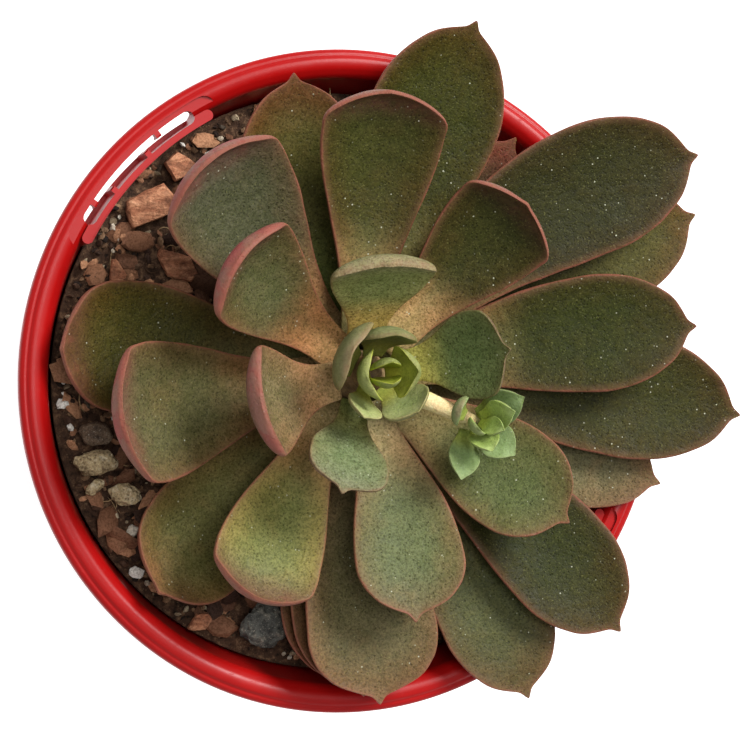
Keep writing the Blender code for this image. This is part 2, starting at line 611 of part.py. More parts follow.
def grow_leaf(axis, leaf, stations, root_radius, paint, canopy=None):
    """Makes a leaf. With a canopy, lifts it along its length until it is clear of it."""
    lifts = [0.0] * len(stations)
    if canopy is None:
        rings, heel, point = leaf_rings(axis, leaf, stations, root_radius, lifts)
        points, faces = leaf_mesh(rings, heel, point)
        return add_object(leaf["name"], points, faces, paint)
    direction = math.radians(leaf["direction"])
    out = Vector((math.cos(direction), math.sin(direction), 0.0))
    origin = Vector((axis[0], axis[1], 0.0))
    for _ in range(REST_ROUNDS):
        rings, heel, point = leaf_rings(axis, leaf, stations, root_radius, lifts)
        points, faces = leaf_mesh(rings, heel, point)
        reaches = []
        for ring in rings:
            middle = sum(ring, Vector()) / len(ring)
            reaches.append((middle - origin).dot(out))
        wanted = [0.0] * len(stations)
        for hit, short in canopy.shortfalls(points, faces):
            place = (hit - origin).dot(out)
            for index, reach in enumerate(reaches):
                wanted[index] = max(wanted[index], short - REST_SLOPE * abs(reach - place) * 0.5)
        if max(wanted) <= 0.0:
            break
        lifts = [lift + more for lift, more in zip(lifts, wanted)]
        for _ in range(2):
            ends = [lifts[0]] + lifts + [lifts[-1]]
            smooth = [(a + 2 * b + c) / 4 for a, b, c in zip(ends, ends[1:], ends[2:])]
            lifts = [max(lift, soft) for lift, soft in zip(lifts, smooth)]
    rings, heel, point = leaf_rings(axis, leaf, stations, root_radius, lifts)
    points, faces = leaf_mesh(rings, heel, point)
    canopy.cover(points, faces)
    return add_object(leaf["name"], points, faces, paint)


def make_chip(row, paint):
    """A flat, broken piece of bark with uneven corners."""
    name, x, y, length, width, height, heading, tilt, style = row
    base = soil_height(x, y) + GAP + 0.5 * length * abs(math.sin(math.radians(tilt))) + 0.9
    turn = math.radians(heading)
    slope = math.sin(math.radians(tilt))
    points = []
    for level, inset in ((0.0, 0.90), (0.45, 1.0), (1.0, 0.93)):
        for i in range(style):
            angle = 2 * math.pi * (i + 0.35 * math.sin(style * 1.7 + 2.3 * i)) / style
            reach = (0.86 + 0.14 * math.sin(style + 4.1 * i)) * inset
            u = length * 0.58 * reach * math.cos(angle)
            v = width * 0.58 * reach * math.sin(angle)
            rise = height * level + slope * u + 0.25 * math.sin(3.3 * i + style)
            px = x + u * math.cos(turn) - v * math.sin(turn)
            py = y + u * math.sin(turn) + v * math.cos(turn)
            points.append((px, py, base + rise))
    faces = ring_faces(3, style)
    points.append((x, y, base + 0.1))
    points.append((x, y, base + height + 0.3))
    faces += fan_faces(len(points) - 2, 0, style)
    faces += fan_faces(len(points) - 1, 2 * style, style)
    return add_object(name, points, faces, paint, smooth=False)


def make_stone(row, paint):
    """A rounded, slightly lumpy stone."""
    name, x, y, length, width, height, heading, lump, seed = row
    turn = math.radians(heading)
    base = soil_height(x, y) + GAP + 1.0 + height / 2
    rings = 6
    sides = 12
    points = []
    for ring in range(1, rings):
        polar_angle = math.pi * ring / rings
        for i in range(sides):
            angle = 2 * math.pi * i / sides
            wobble = 1.0 + lump * math.sin(2.1 * i + seed) * math.sin(1.7 * ring + seed)
            u = length / 2 * wobble * math.sin(polar_angle) ** 0.8 * math.cos(angle)
            v = width / 2 * wobble * math.sin(polar_angle) ** 0.8 * math.sin(angle)
            w = height / 2 * math.cos(polar_angle)
            px = x + u * math.cos(turn) - v * math.sin(turn)
            py = y + u * math.sin(turn) + v * math.cos(turn)
            points.append((px, py, base + w))
    faces = ring_faces(rings - 1, sides)
    points.append((x, y, base + height / 2))
    points.append((x, y, base - height / 2))
    faces += fan_faces(len(points) - 2, 0, sides)
    faces += fan_faces(len(points) - 1, (rings - 2) * sides, sides)
    return add_object(name, points, faces, paint)


def make_twig(row, paint):
    """A short broken bit of woody stem lying on the soil against the wall."""
    name, x, y, length, radius, heading, rise = row
    turn = math.radians(heading)
    base = soil_height(x, y) + GAP + radius + 1.0
    path = []
    radii = []
    for i in range(5):
        share = i / 4 - 0.5
        u = share * length
        bow = 0.7 * math.cos(math.pi * share)
        px = x + u * math.cos(turn) - bow * math.sin(turn)
        py = y + u * math.sin(turn) + bow * math.cos(turn)
        path.append(Vector((px, py, base + (0.5 - share) * length * math.sin(math.radians(rise)))))
        radii.append(radius * (0.8 + 0.25 * math.sin(2.0 * i + 0.5)))
    points, faces = tube(path, radii, 8)
    return add_object(name, points, faces, paint)


for old in list(bpy.data.objects):
    bpy.data.objects.remove(old, do_unlink=True)

RED_PLASTIC = material("red_plastic", (0.62, 0.02, 0.02), 0.35)
SOIL_MIX = material("soil_mix", (0.05, 0.03, 0.02), 0.95)
STEM_SKIN = material("stem_skin", (0.35, 0.24, 0.13), 0.7)
OUTER_LEAF = material("outer_leaf", (0.10, 0.12, 0.05), 0.5)
HEART_LEAF = material("heart_leaf", (0.17, 0.26, 0.07), 0.5)
OFFSET_LEAF = material("offset_leaf", (0.22, 0.36, 0.14), 0.5)
BARK = material("bark", (0.32, 0.14, 0.07), 0.9)
PUMICE = material("pumice", (0.55, 0.48, 0.34), 0.95)
GREY_ROCK = material("grey_rock", (0.16, 0.13, 0.12), 0.9)
DARK_ROCK = material("dark_rock", (0.05, 0.06, 0.065), 0.85)

make_pot(RED_PLASTIC)
make_soil(SOIL_MIX)
make_stem(STEM_SKIN)
make_offset_stem(STEM_SKIN)

plant_axis = (PLANT_X, PLANT_Y)
canopy = Canopy()
for row in MAIN_LEAVES:
    leaf = leaf_record(row)
    rise = math.sin(math.radians(leaf["rise_root"]))
    root_radius = STEM_RADIUS + 2 * GAP + leaf["thickness"] * 0.5 * rise
    grow_leaf(plant_axis, leaf, STATIONS, root_radius, OUTER_LEAF, canopy)
for row in HEART_LEAVES:
    leaf = leaf_record(row)
    root_radius = leaf["sway"]
    leaf["sway"] = 0.0
    grow_leaf(plant_axis, leaf, SMALL_STATIONS, root_radius, HEART_LEAF)
for row in OFFSET_LEAVES:
    leaf = leaf_record(row)
    root_radius = leaf["sway"]
    leaf["sway"] = 0.0
    grow_leaf((OFFSET_X, OFFSET_Y), leaf, SMALL_STATIONS, root_radius, OFFSET_LEAF)

for row in CHIPS:
    make_chip(row, BARK)
for row in STONES:
    if row[0].startswith("pumice"):
        make_stone(row, PUMICE)
    elif row[0] == "dark_stone":
        make_stone(row, DARK_ROCK)
    else:
        make_stone(row, GREY_ROCK)
make_twig(TWIG, BARK)
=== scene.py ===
"""Looks of the potted rosette succulent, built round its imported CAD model.

Every piece is in metres in the CAD frame. MM turns millimetres into metres. Leaves take their
course, width, thickness and cupping from the CAD leaves and are drawn again as fine surfaces.
"""

import math

import bmesh
import bpy
import numpy as np
from mathutils import Matrix, Vector, noise


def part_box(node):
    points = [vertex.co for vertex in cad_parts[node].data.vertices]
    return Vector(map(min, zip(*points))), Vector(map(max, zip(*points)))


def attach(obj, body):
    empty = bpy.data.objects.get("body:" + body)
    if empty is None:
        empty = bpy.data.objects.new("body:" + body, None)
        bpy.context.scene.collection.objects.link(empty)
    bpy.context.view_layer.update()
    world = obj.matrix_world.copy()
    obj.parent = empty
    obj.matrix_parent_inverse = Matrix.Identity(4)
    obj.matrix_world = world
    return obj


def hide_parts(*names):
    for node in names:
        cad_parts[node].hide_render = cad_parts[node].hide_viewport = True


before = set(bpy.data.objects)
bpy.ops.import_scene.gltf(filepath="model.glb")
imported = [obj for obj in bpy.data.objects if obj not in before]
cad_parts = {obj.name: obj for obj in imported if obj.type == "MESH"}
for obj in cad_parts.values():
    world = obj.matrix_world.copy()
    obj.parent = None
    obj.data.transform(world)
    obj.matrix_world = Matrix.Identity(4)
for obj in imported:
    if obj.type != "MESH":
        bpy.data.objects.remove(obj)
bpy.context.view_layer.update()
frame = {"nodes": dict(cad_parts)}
MM = 0.001
POT_LOW, POT_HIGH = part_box("pot")
RIM_HEIGHT = POT_HIGH.z
RIM_RADIUS = POT_HIGH.x
STEM_LOW, STEM_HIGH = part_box("stem")
PLANT_AXIS = (STEM_LOW + STEM_HIGH) / 2
rng = np.random.default_rng(11)


# ---------------------------------------------------------------------------------------
# Materials


def tone(red, green, blue):
    """A colour given as 0-255 screen values, as the linear values that shaders take."""
    linear = []
    for value in (red, green, blue):
        share = value / 255.0
        linear.append(share / 12.92 if share <= 0.04045 else ((share + 0.055) / 1.055) ** 2.4)
    return (*linear, 1.0)


class Finish:
    """A Principled material under construction, with one short call for each kind of node."""

    def __init__(self, name, **constants):
        self.material = bpy.data.materials.new(name)
        self.material.use_nodes = True
        self.tree = self.material.node_tree
        self.shader = self.tree.nodes["Principled BSDF"]
        for socket, value in constants.items():
            self.shader.inputs[socket.replace("_", " ")].default_value = value

    def put(self, socket, value):
        """Sets a node's socket to a constant or to another node's output."""
        if isinstance(value, bpy.types.NodeSocket):
            self.tree.links.new(value, socket)
        elif socket.type == "RGBA" and len(value) == 3:
            socket.default_value = (*value, 1.0)
        else:
            socket.default_value = value

    def node(self, kind, **settings):
        made = self.tree.nodes.new("ShaderNode" + kind)
        for key, value in settings.items():
            setattr(made, key, value)
        return made

    def place(self):
        """The point on the object, in metres."""
        return self.node("TexCoord").outputs["Object"]

    def value(self, name):
        """A number stored on the mesh."""
        return self.node("Attribute", attribute_name=name).outputs["Fac"]

    def colour(self, name):
        """A colour stored on the mesh."""
        return self.node("Attribute", attribute_name=name).outputs["Color"]

    def stretched(self, vector, scale):
        made = self.node("Mapping")
        self.put(made.inputs["Vector"], vector)
        made.inputs["Scale"].default_value = scale
        return made.outputs["Vector"]

    def noise(self, vector, scale, detail=3.0, roughness=0.5, distortion=0.0):
        made = self.node("TexNoise")
        self.put(made.inputs["Vector"], vector)
        made.inputs["Scale"].default_value = scale
        made.inputs["Detail"].default_value = detail
        made.inputs["Roughness"].default_value = roughness
        made.inputs["Distortion"].default_value = distortion
        return made.outputs["Fac"]

    def cells(self, vector, scale, feature="F1", output="Distance", randomness=1.0):
        made = self.node("TexVoronoi", feature=feature)
        self.put(made.inputs["Vector"], vector)
        made.inputs["Scale"].default_value = scale
        made.inputs["Randomness"].default_value = randomness
        return made.outputs[output]

    def ramp(self, value, *stops):
        """Smooth steps from stops (place, number or colour)."""
        made = self.node("ValToRGB")
        self.put(made.inputs["Fac"], value)
        made.color_ramp.interpolation = "EASE"
        elements = made.color_ramp.elements
        while len(elements) < len(stops):
            elements.new(0.5)
        for element, (place, shade) in zip(elements, stops):
            element.position = place
            element.color = shade if hasattr(shade, "__len__") else (shade, shade, shade, 1.0)
        return made.outputs["Color"]

    def span(self, value, low, high, start=0.0, end=1.0):
        """Maps low..high to start..end, clamped and eased."""
        made = self.node("MapRange", interpolation_type="SMOOTHSTEP")
        self.put(made.inputs["Value"], value)
        made.inputs["From Min"].default_value = low
        made.inputs["From Max"].default_value = high
        made.inputs["To Min"].default_value = start
        made.inputs["To Max"].default_value = end
        return made.outputs["Result"]

    def math(self, operation, first, second=0.0):
        made = self.node("Math", operation=operation)
        self.put(made.inputs[0], first)
        self.put(made.inputs[1], second)
        return made.outputs["Value"]

    def product(self, *values):
        result = values[0]
        for value in values[1:]:
            result = self.math("MULTIPLY", result, value)
        return result

    def mix(self, share, first, second, blend="MIX"):
        made = self.node("Mix", data_type="RGBA", blend_type=blend)
        self.put(made.inputs[0], share)
        self.put(made.inputs[6], first)
        self.put(made.inputs[7], second)
        return made.outputs[2]

    def bump(self, height, distance, strength=1.0, under=None):
        made = self.node("Bump")
        made.inputs["Strength"].default_value = strength
        made.inputs["Distance"].default_value = distance
        self.put(made.inputs["Height"], height)
        if under is not None:
            self.put(made.inputs["Normal"], under)
        return made.outputs["Normal"]

    def done(self, colour=None, roughness=None, normal=None):
        if colour is not None:
            self.put(self.shader.inputs["Base Color"], colour)
        if roughness is not None:
            self.put(self.shader.inputs["Roughness"], roughness)
        if normal is not None:
            self.put(self.shader.inputs["Normal"], normal)
        return self.material


def leaf_finish(name, pore_depth, speck_share):
    """Thick waxy leaf skin: mottled, with fine dark pores, pale specks, browner towards its
    red margin, and a mauve bloom on the lip."""
    skin = Finish(name, Specular_IOR_Level=0.10, Subsurface_Weight=0.08, Subsurface_Scale=0.0025)
    skin.shader.inputs["Subsurface Radius"].default_value = (0.7, 1.0, 0.25)
    place = skin.place()
    shade = skin.colour("skin")
    broad = skin.noise(place, 75.0, 4.0, 0.62)
    patchy = skin.noise(place, 300.0, 3.0, 0.65, 0.4)
    grain = skin.noise(place, 1500.0, 2.0, 0.8)
    wobble = skin.noise(place, 330.0, 3.0, 0.6)
    edge = skin.math("ADD", skin.value("edge"), skin.math("MULTIPLY", wobble, -1.1))
    brown = skin.math("ADD", skin.span(edge, 0.0, 9.0, 0.55, 0.0), skin.span(broad, 0.46, 0.72, 0.0, 0.3))
    shade = skin.mix(skin.product(brown, skin.value("red")), shade, skin.colour("flush"))
    shade = skin.mix(skin.span(patchy, 0.34, 0.66, 0.50, 0.0), shade, (0.56, 0.62, 0.48), "MULTIPLY")
    shade = skin.mix(skin.span(grain, 0.38, 0.60, pore_depth, 0.0), shade, (0.42, 0.42, 0.34), "MULTIPLY")
    pores = skin.cells(place, 1050.0)
    dark_pores = skin.span(pores, 0.12, 0.36, pore_depth, 0.0)
    shade = skin.mix(dark_pores, shade, (0.34, 0.33, 0.24), "MULTIPLY")
    pale_grain = skin.noise(place, 2300.0, 1.0, 0.5)
    shade = skin.mix(skin.span(pale_grain, 0.60, 0.78, 0.0, 0.16), shade, tone(158, 156, 90))
    pale = skin.cells(place, 560.0)
    chosen = skin.span(skin.noise(place, 190.0, 2.0), 0.50, 0.62)
    specks = skin.product(skin.span(pale, 0.07, 0.14, 1.0, 0.0), chosen, speck_share)
    shade = skin.mix(specks, shade, (0.44, 0.44, 0.33))
    lip = skin.product(skin.value("lip"), skin.span(wobble, 0.25, 0.65, 0.65, 1.0))
    shade = skin.mix(lip, shade, skin.colour("bloom"))
    blotch = skin.noise(place, 130.0, 3.0, 0.6, 0.5)
    reddened = skin.product(skin.value("lip"), skin.span(blotch, 0.44, 0.58, 0.0, 0.9), skin.value("red"))
    shade = skin.mix(reddened, shade, tone(134, 58, 58))
    glow = skin.product(skin.span(edge, -0.5, 2.2, 0.34, 0.0), skin.value("red"))
    shade = skin.mix(glow, shade, tone(112, 78, 56))
    line = skin.product(skin.span(edge, -0.55, 0.22, 0.55, 0.0), skin.value("red"))
    shade = skin.mix(line, shade, tone(130, 72, 60))
    fine = skin.math("SUBTRACT", skin.math("MULTIPLY", grain, 0.5), skin.math("MULTIPLY", dark_pores, 0.6))
    normal = skin.bump(fine, 0.00025, 0.6)
    normal = skin.bump(patchy, 0.0010, 0.4, normal)
    rough = skin.span(patchy, 0.2, 0.8, 0.42, 0.58)
    return skin.done(shade, rough, normal)


OUTER_FINISH = leaf_finish("outer_leaf_skin", 0.66, 0.8)
YOUNG_FINISH = leaf_finish("young_leaf_skin", 0.28, 0.3)


def plastic_finish():
    """Red moulded plastic: smooth, a little dusty, with fine scuffs and flow marks."""
    plastic = Finish("red_moulded_plastic", Specular_IOR_Level=0.22)
    place = plastic.place()
    cloudy = plastic.noise(place, 34.0, 4.0, 0.55)
    shade = plastic.mix(plastic.span(cloudy, 0.30, 0.72), tone(146, 9, 9), tone(153, 11, 10))
    around = plastic.stretched(place, (120.0, 120.0, 900.0))
    brushed = plastic.noise(around, 1.0, 4.0, 0.65)
    shade = plastic.mix(plastic.span(brushed, 0.45, 0.75, 0.0, 0.16), shade, tone(110, 6, 8))
    dust = plastic.noise(place, 900.0, 4.0, 0.7)
    thick = plastic.span(cloudy, 0.42, 0.62, 0.5, 0.8)
    settled = plastic.product(plastic.span(dust, 0.60, 0.78, 0.0, 0.30), thick)
    shade = plastic.mix(settled, shade, tone(176, 70, 60))
    scuffs = plastic.noise(plastic.stretched(place, (260.0, 1500.0, 700.0)), 1.0, 3.0, 0.6, 0.6)
    scuffed = plastic.span(scuffs, 0.55, 0.75, 0.0, 0.16)
    rough = plastic.math("ADD", plastic.span(cloudy, 0.3, 0.7, 0.30, 0.40), scuffed)
    rough = plastic.math("ADD", rough, plastic.math("MULTIPLY", settled, 0.2))
    normal = plastic.bump(dust, 0.00008, 0.25)
    normal = plastic.bump(cloudy, 0.0004, 0.15, normal)
    return plastic.done(shade, rough, normal)


PLASTIC = plastic_finish()


# ---------------------------------------------------------------------------------------
# Mesh helpers


def smooth_object(name, points, faces, finish, body_slot, *nodes, sharp=None):
    """A smooth mesh piece that rides on the object and may stand for CAD nodes."""
    mesh = bpy.data.meshes.new(name)
    mesh.from_pydata([tuple(p) for p in points], [], [tuple(f) for f in faces])
    mesh.materials.append(finish)
    mesh.update()
    mesh.shade_smooth()
    if sharp is not None:
        mesh.set_sharp_from_angle(angle=math.radians(sharp))
    obj = bpy.data.objects.new(name, mesh)
    bpy.context.scene.collection.objects.link(obj)
    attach(obj, "root")
    if nodes:
        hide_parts(*nodes)
    return obj


def store(obj, name, values):
    """Puts one number, or one colour, per point on a mesh for its material to read."""
    values = np.asarray(values, np.float32)
    if values.ndim == 1:
        attribute = obj.data.attributes.new(name, "FLOAT", "POINT")
        attribute.data.foreach_set("value", values)
    else:
        attribute = obj.data.attributes.new(name, "FLOAT_COLOR", "POINT")
        rgba = np.concatenate([values[:, :3], np.ones((len(values), 1), np.float32)], axis=1)
        attribute.data.foreach_set("color", rgba.ravel())


def loop_grid(rows, columns, first=0):
    """Quads between rows of points that close on themselves."""
    quads = []
    for row in range(rows - 1):
        here = first + row * columns
        for i in range(columns):
            j = (i + 1) % columns
            quads.append((here + i, here + j, here + columns + j, here + columns + i))
    return quads


def ease(value, low, high):
    """0 below low, 1 above high, smooth between, for numbers or arrays."""
    share = np.clip((value - low) / (high - low), 0.0, 1.0)
    return share * share * (3.0 - 2.0 * share)


def through(places, values, wanted):
    """A smooth curve through values at increasing places, read at the wanted places."""
    places = np.asarray(places, float)
    values = np.asarray(values, float)
    steps = np.diff(places)
    slopes = (values[1:] - values[:-1]) / (steps if values.ndim == 1 else steps[:, None])
    weights = steps if values.ndim == 1 else steps[:, None]
    inner = (slopes[:-1] * weights[1:] + slopes[1:] * weights[:-1]) / (weights[:-1] + weights[1:])
    tangents = np.concatenate([slopes[:1], inner, slopes[-1:]])
    index = np.clip(np.searchsorted(places, wanted, side="right") - 1, 0, len(steps) - 1)
    width = steps[index]
    t = (wanted - places[index]) / width
    if values.ndim > 1:
        t, width = t[:, None], width[:, None]
    start, end = values[index], values[index + 1]
    rise = (2 * t ** 3 - 3 * t ** 2 + 1) * start + (3 * t ** 2 - 2 * t ** 3) * end
    bend = (t ** 3 - 2 * t ** 2 + t) * tangents[index] + (t ** 3 - t ** 2) * tangents[index + 1]
    return rise + bend * width


def unit(vectors):
    return vectors / np.maximum(np.linalg.norm(vectors, axis=-1, keepdims=True), 1e-12)


def rough_field(points, size, seed):
    """Smooth noise from -1 to 1 at each point, with features of about that size."""
    shift = Vector((seed * 7.13, seed * 3.71, seed * 5.37))
    return np.array([noise.noise(Vector(p) / size + shift) for p in points])


# ---------------------------------------------------------------------------------------
# Leaves

RING_SIZE = 10
MIDDLE_SPOTS = (2, 3)
BELOW_SPOTS = (7, 8)
SPOT_SHARE = 0.26
SPOT_FULLNESS = (1.0 - SPOT_SHARE ** 2.4) ** 0.75
ABOVE_SHARE = 0.26
LONG_STATIONS = (0.0, 0.10, 0.22, 0.36, 0.50, 0.62, 0.73, 0.82, 0.90, 0.955)
SHORT_STATIONS = (0.0, 0.16, 0.34, 0.52, 0.68, 0.81, 0.91, 0.965)


def welded(node):
    """A CAD node's distinct points and each point's neighbours."""
    mesh = frame["nodes"][node].data
    places = np.array([v.co for v in mesh.vertices])
    _, first, index = np.unique(np.round(places / (2e-6)), axis=0, return_index=True, return_inverse=True)
    index = index.reshape(-1)
    near = [set() for _ in first]
    for polygon in mesh.polygons:
        corners = [index[v] for v in polygon.vertices]
        for a, b in zip(corners, corners[1:] + corners[:1]):
            if a != b:
                near[a].add(b)
                near[b].add(a)
    return places[first], near


def ring_in_order(members, near):
    """A closed ring's members, walked round in order."""
    members = set(members)
    walk = [min(members)]
    while len(walk) < len(members):
        onward = [v for v in near[walk[-1]] if v in members and v not in walk]
        closing = [v for v in onward if len([w for w in near[v] if w in members]) >= 2]
        walk.append(min(closing or onward))
    return walk


def cad_rings(node, axis):
    """A CAD leaf's rings from root to tip, each starting at the same margin, and its tip."""
    places, near = welded(node)
    poles = [v for v in range(len(places)) if len(near[v]) == RING_SIZE]
    poles = [v for v in poles if all(len(near[w] & near[v]) == 2 for w in near[v])]
    out = [math.dist(places[v][:2], axis[:2]) + 0.5 * places[v][2] for v in poles]
    heel, tip = poles[int(np.argmin(out))], poles[int(np.argmax(out))]
    seen = {heel, tip}
    layer = set(near[heel])
    rings = []
    while layer:
        walk = ring_in_order(layer, near)
        ring = places[walk]
        if rings:
            turns = [np.roll(r, k, axis=0) for r in (ring, ring[::-1]) for k in range(RING_SIZE)]
            offset = rings[-1] - rings[-1].mean(0)
            ring = min(turns, key=lambda r: ((r - r.mean(0) - offset) ** 2).sum())
        rings.append(ring)
        seen |= layer
        layer = {w for v in layer for w in near[v]} - seen
    rings = np.array(rings)
    return margins_first(rings), places[heel], places[tip]


def margins_first(rings):
    """Turns the rings so that point 0 is one margin, 5 the other and 1 to 4 the upper face."""
    widest = rings[len(rings) // 2]
    spans = [np.linalg.norm(widest[k] - widest[k + 5]) for k in range(5)]
    rings = np.roll(rings, -int(np.argmax(spans)), axis=1)
    chord = (rings[:, 0] + rings[:, 5]) / 2
    near_side = np.linalg.norm(rings[:, [2, 3]].mean(1) - chord, axis=1).sum()
    far_side = np.linalg.norm(rings[:, [7, 8]].mean(1) - chord, axis=1).sum()
    if near_side > far_side:
        rings = np.roll(rings, -5, axis=1)
    along = rings[-1].mean(0) - rings[0].mean(0)
    across = rings[len(rings) // 2, 0] - rings[len(rings) // 2, 5]
    facing = rings[len(rings) // 2, [2, 3]].mean(0) - rings[len(rings) // 2, [7, 8]].mean(0)
    if np.dot(np.cross(along, across), facing) < 0:
        order = [5, 4, 3, 2, 1, 0, 9, 8, 7, 6]
        rings = rings[:, order]
    return rings


class LeafShape:
    """What a leaf's fine surface is drawn from: its course, facing, width and thickness."""

    def __init__(self, node, axis):
        rings, self.heel, self.tip = cad_rings(node, axis)
        stations = LONG_STATIONS if len(rings) == len(LONG_STATIONS) else SHORT_STATIONS
        chord = (rings[:, 0] + rings[:, 5]) / 2
        half = np.linalg.norm(rings[:, 0] - rings[:, 5], axis=1) / 2
        across = unit(rings[:, 0] - rings[:, 5])
        above = rings[:, MIDDLE_SPOTS].mean(1)
        below = rings[:, BELOW_SPOTS].mean(1)
        facing = unit(above - below)
        thickness = np.linalg.norm(above - below, axis=1) / SPOT_FULLNESS
        sink = np.einsum("ij,ij->i", above - chord, facing)
        self.cup = (ABOVE_SHARE * SPOT_FULLNESS * thickness - sink) / (1.0 - SPOT_SHARE ** 2)
        self.centre = np.vstack([chord - facing * self.cup[:, None], self.tip])
        self.across = np.vstack([across, across[-1]])
        self.facing = np.vstack([facing, facing[-1]])
        self.cup = np.append(self.cup, 0.0)
        self.half = np.append(half, 0.0)
        self.thickness = np.append(thickness, thickness[-1] * 0.55)
        self.places = np.append(stations, 1.0)
        start = unit(self.centre[1] - self.centre[0])
        end = unit(self.centre[-1] - self.centre[-3])
        self.curl = math.degrees(math.acos(np.clip(np.dot(start, end), -1.0, 1.0)))


def leaf_surface(shape, rows, columns, seed, mucro):
    """Points, faces and surface measures of one leaf, drawn finely."""
    share = 1.0 - (1.0 - np.linspace(0.0, 1.0, rows + 1)[:-1]) ** 1.7
    share = np.append(share, 0.9999)
    blunt = ease(shape.curl, 35.0, 70.0)
    power = 1.0 / (0.86 - 0.34 * blunt)
    centre = through(shape.places, shape.centre, share)
    across = unit(through(shape.places, shape.across, share))
    facing = unit(through(shape.places, shape.facing, share))
    half = np.maximum(through(shape.places, shape.half ** power, share), 1e-12) ** (1.0 / power)
    thickness = through(shape.places, shape.thickness, share)
    thickness = thickness * (1.0 + 0.35 * blunt * ease(share, 0.6, 0.9))
    thickness = thickness * (1.0 - (0.5 - 0.3 * blunt) * ease(share, 0.92, 1.0))
    cup = through(shape.places, shape.cup, share)
    angles = 2.0 * math.pi * np.arange(columns) / columns
    lateral = np.sign(np.cos(angles)) * np.abs(np.cos(angles)) ** 0.88
    fullness = np.abs(np.sin(angles)) ** 0.62
    upper = np.sin(angles) >= 0.0
    lengths = np.append(0.0, np.cumsum(np.linalg.norm(np.diff(centre, axis=0), axis=1)))
    waver = np.array([noise.noise(Vector((x / 0.011, seed * 3.3, 0.0))) for x in lengths])
    waver_far = np.array([noise.noise(Vector((x / 0.009, seed * 5.1, 9.0))) for x in lengths])
    side_waver = np.where(lateral[None, :] > 0, waver[:, None], waver_far[:, None])
    reach = half[:, None] * lateral[None, :] * (1.0 + 0.016 * side_waver)
    lift = cup[:, None] * lateral[None, :] ** 2
    body = np.where(upper, ABOVE_SHARE, -(1.0 - ABOVE_SHARE)) * fullness
    lift = lift + thickness[:, None] * body[None, :]
    lift = lift + 0.00028 * side_waver * np.abs(lateral[None, :]) ** 3 * ease(share, 0.3, 0.8)[:, None]
    sideways = across[:, None, :] * reach[..., None]
    points = centre[:, None, :] + sideways + facing[:, None, :] * lift[..., None]
    if mucro > 0.0:
        onward = unit(shape.tip - centre[-8])
        pull = mucro * (1.0 - blunt) * ease(share, 0.955, 1.0)[:, None] * np.exp(-(reach / 0.0012) ** 2)
        points = points + onward * pull[..., None]
    edge = edge_distance(lengths, half, reach)
    flat = points.reshape(-1, 3)
    unevenness = rough_field(flat, 0.010, seed) * 0.00022 + rough_field(flat, 0.0035, seed + 40) * 0.00005
    calm = ease(edge, 0.0, 0.003).reshape(-1, 1)
    flat = flat + np.repeat(facing, columns, axis=0) * unevenness[:, None] * calm
    start, end = shape.heel, points[-1].mean(0)
    points = np.vstack([flat, start, end])
    faces = loop_grid(rows + 1, columns)
    last = len(points) - 1
    faces += [(last - 1, (i + 1) % columns, i) for i in range(columns)]
    first = rows * columns
    faces += [(last, first + i, first + (i + 1) % columns) for i in range(columns)]
    measures = {
        "along": np.append(np.repeat(share, columns), (0.0, 1.0)),
        "edge": np.append(edge.ravel() / MM, (9.0, 0.0)),
        "upper": np.append(np.tile(upper.astype(float), rows + 1), (1.0, 1.0)),
    }
    return points, faces, measures


def edge_distance(lengths, half, reach):
    """Distance of each surface point to the leaf's outline, measured on the flattened leaf."""
    outline_x = np.concatenate([lengths, lengths])
    outline_y = np.concatenate([half, -half])
    dx = lengths[:, None, None] - outline_x[None, None, :]
    dy = reach[:, :, None] - outline_y[None, None, :]
    return np.sqrt((dx ** 2 + dy ** 2).min(-1))


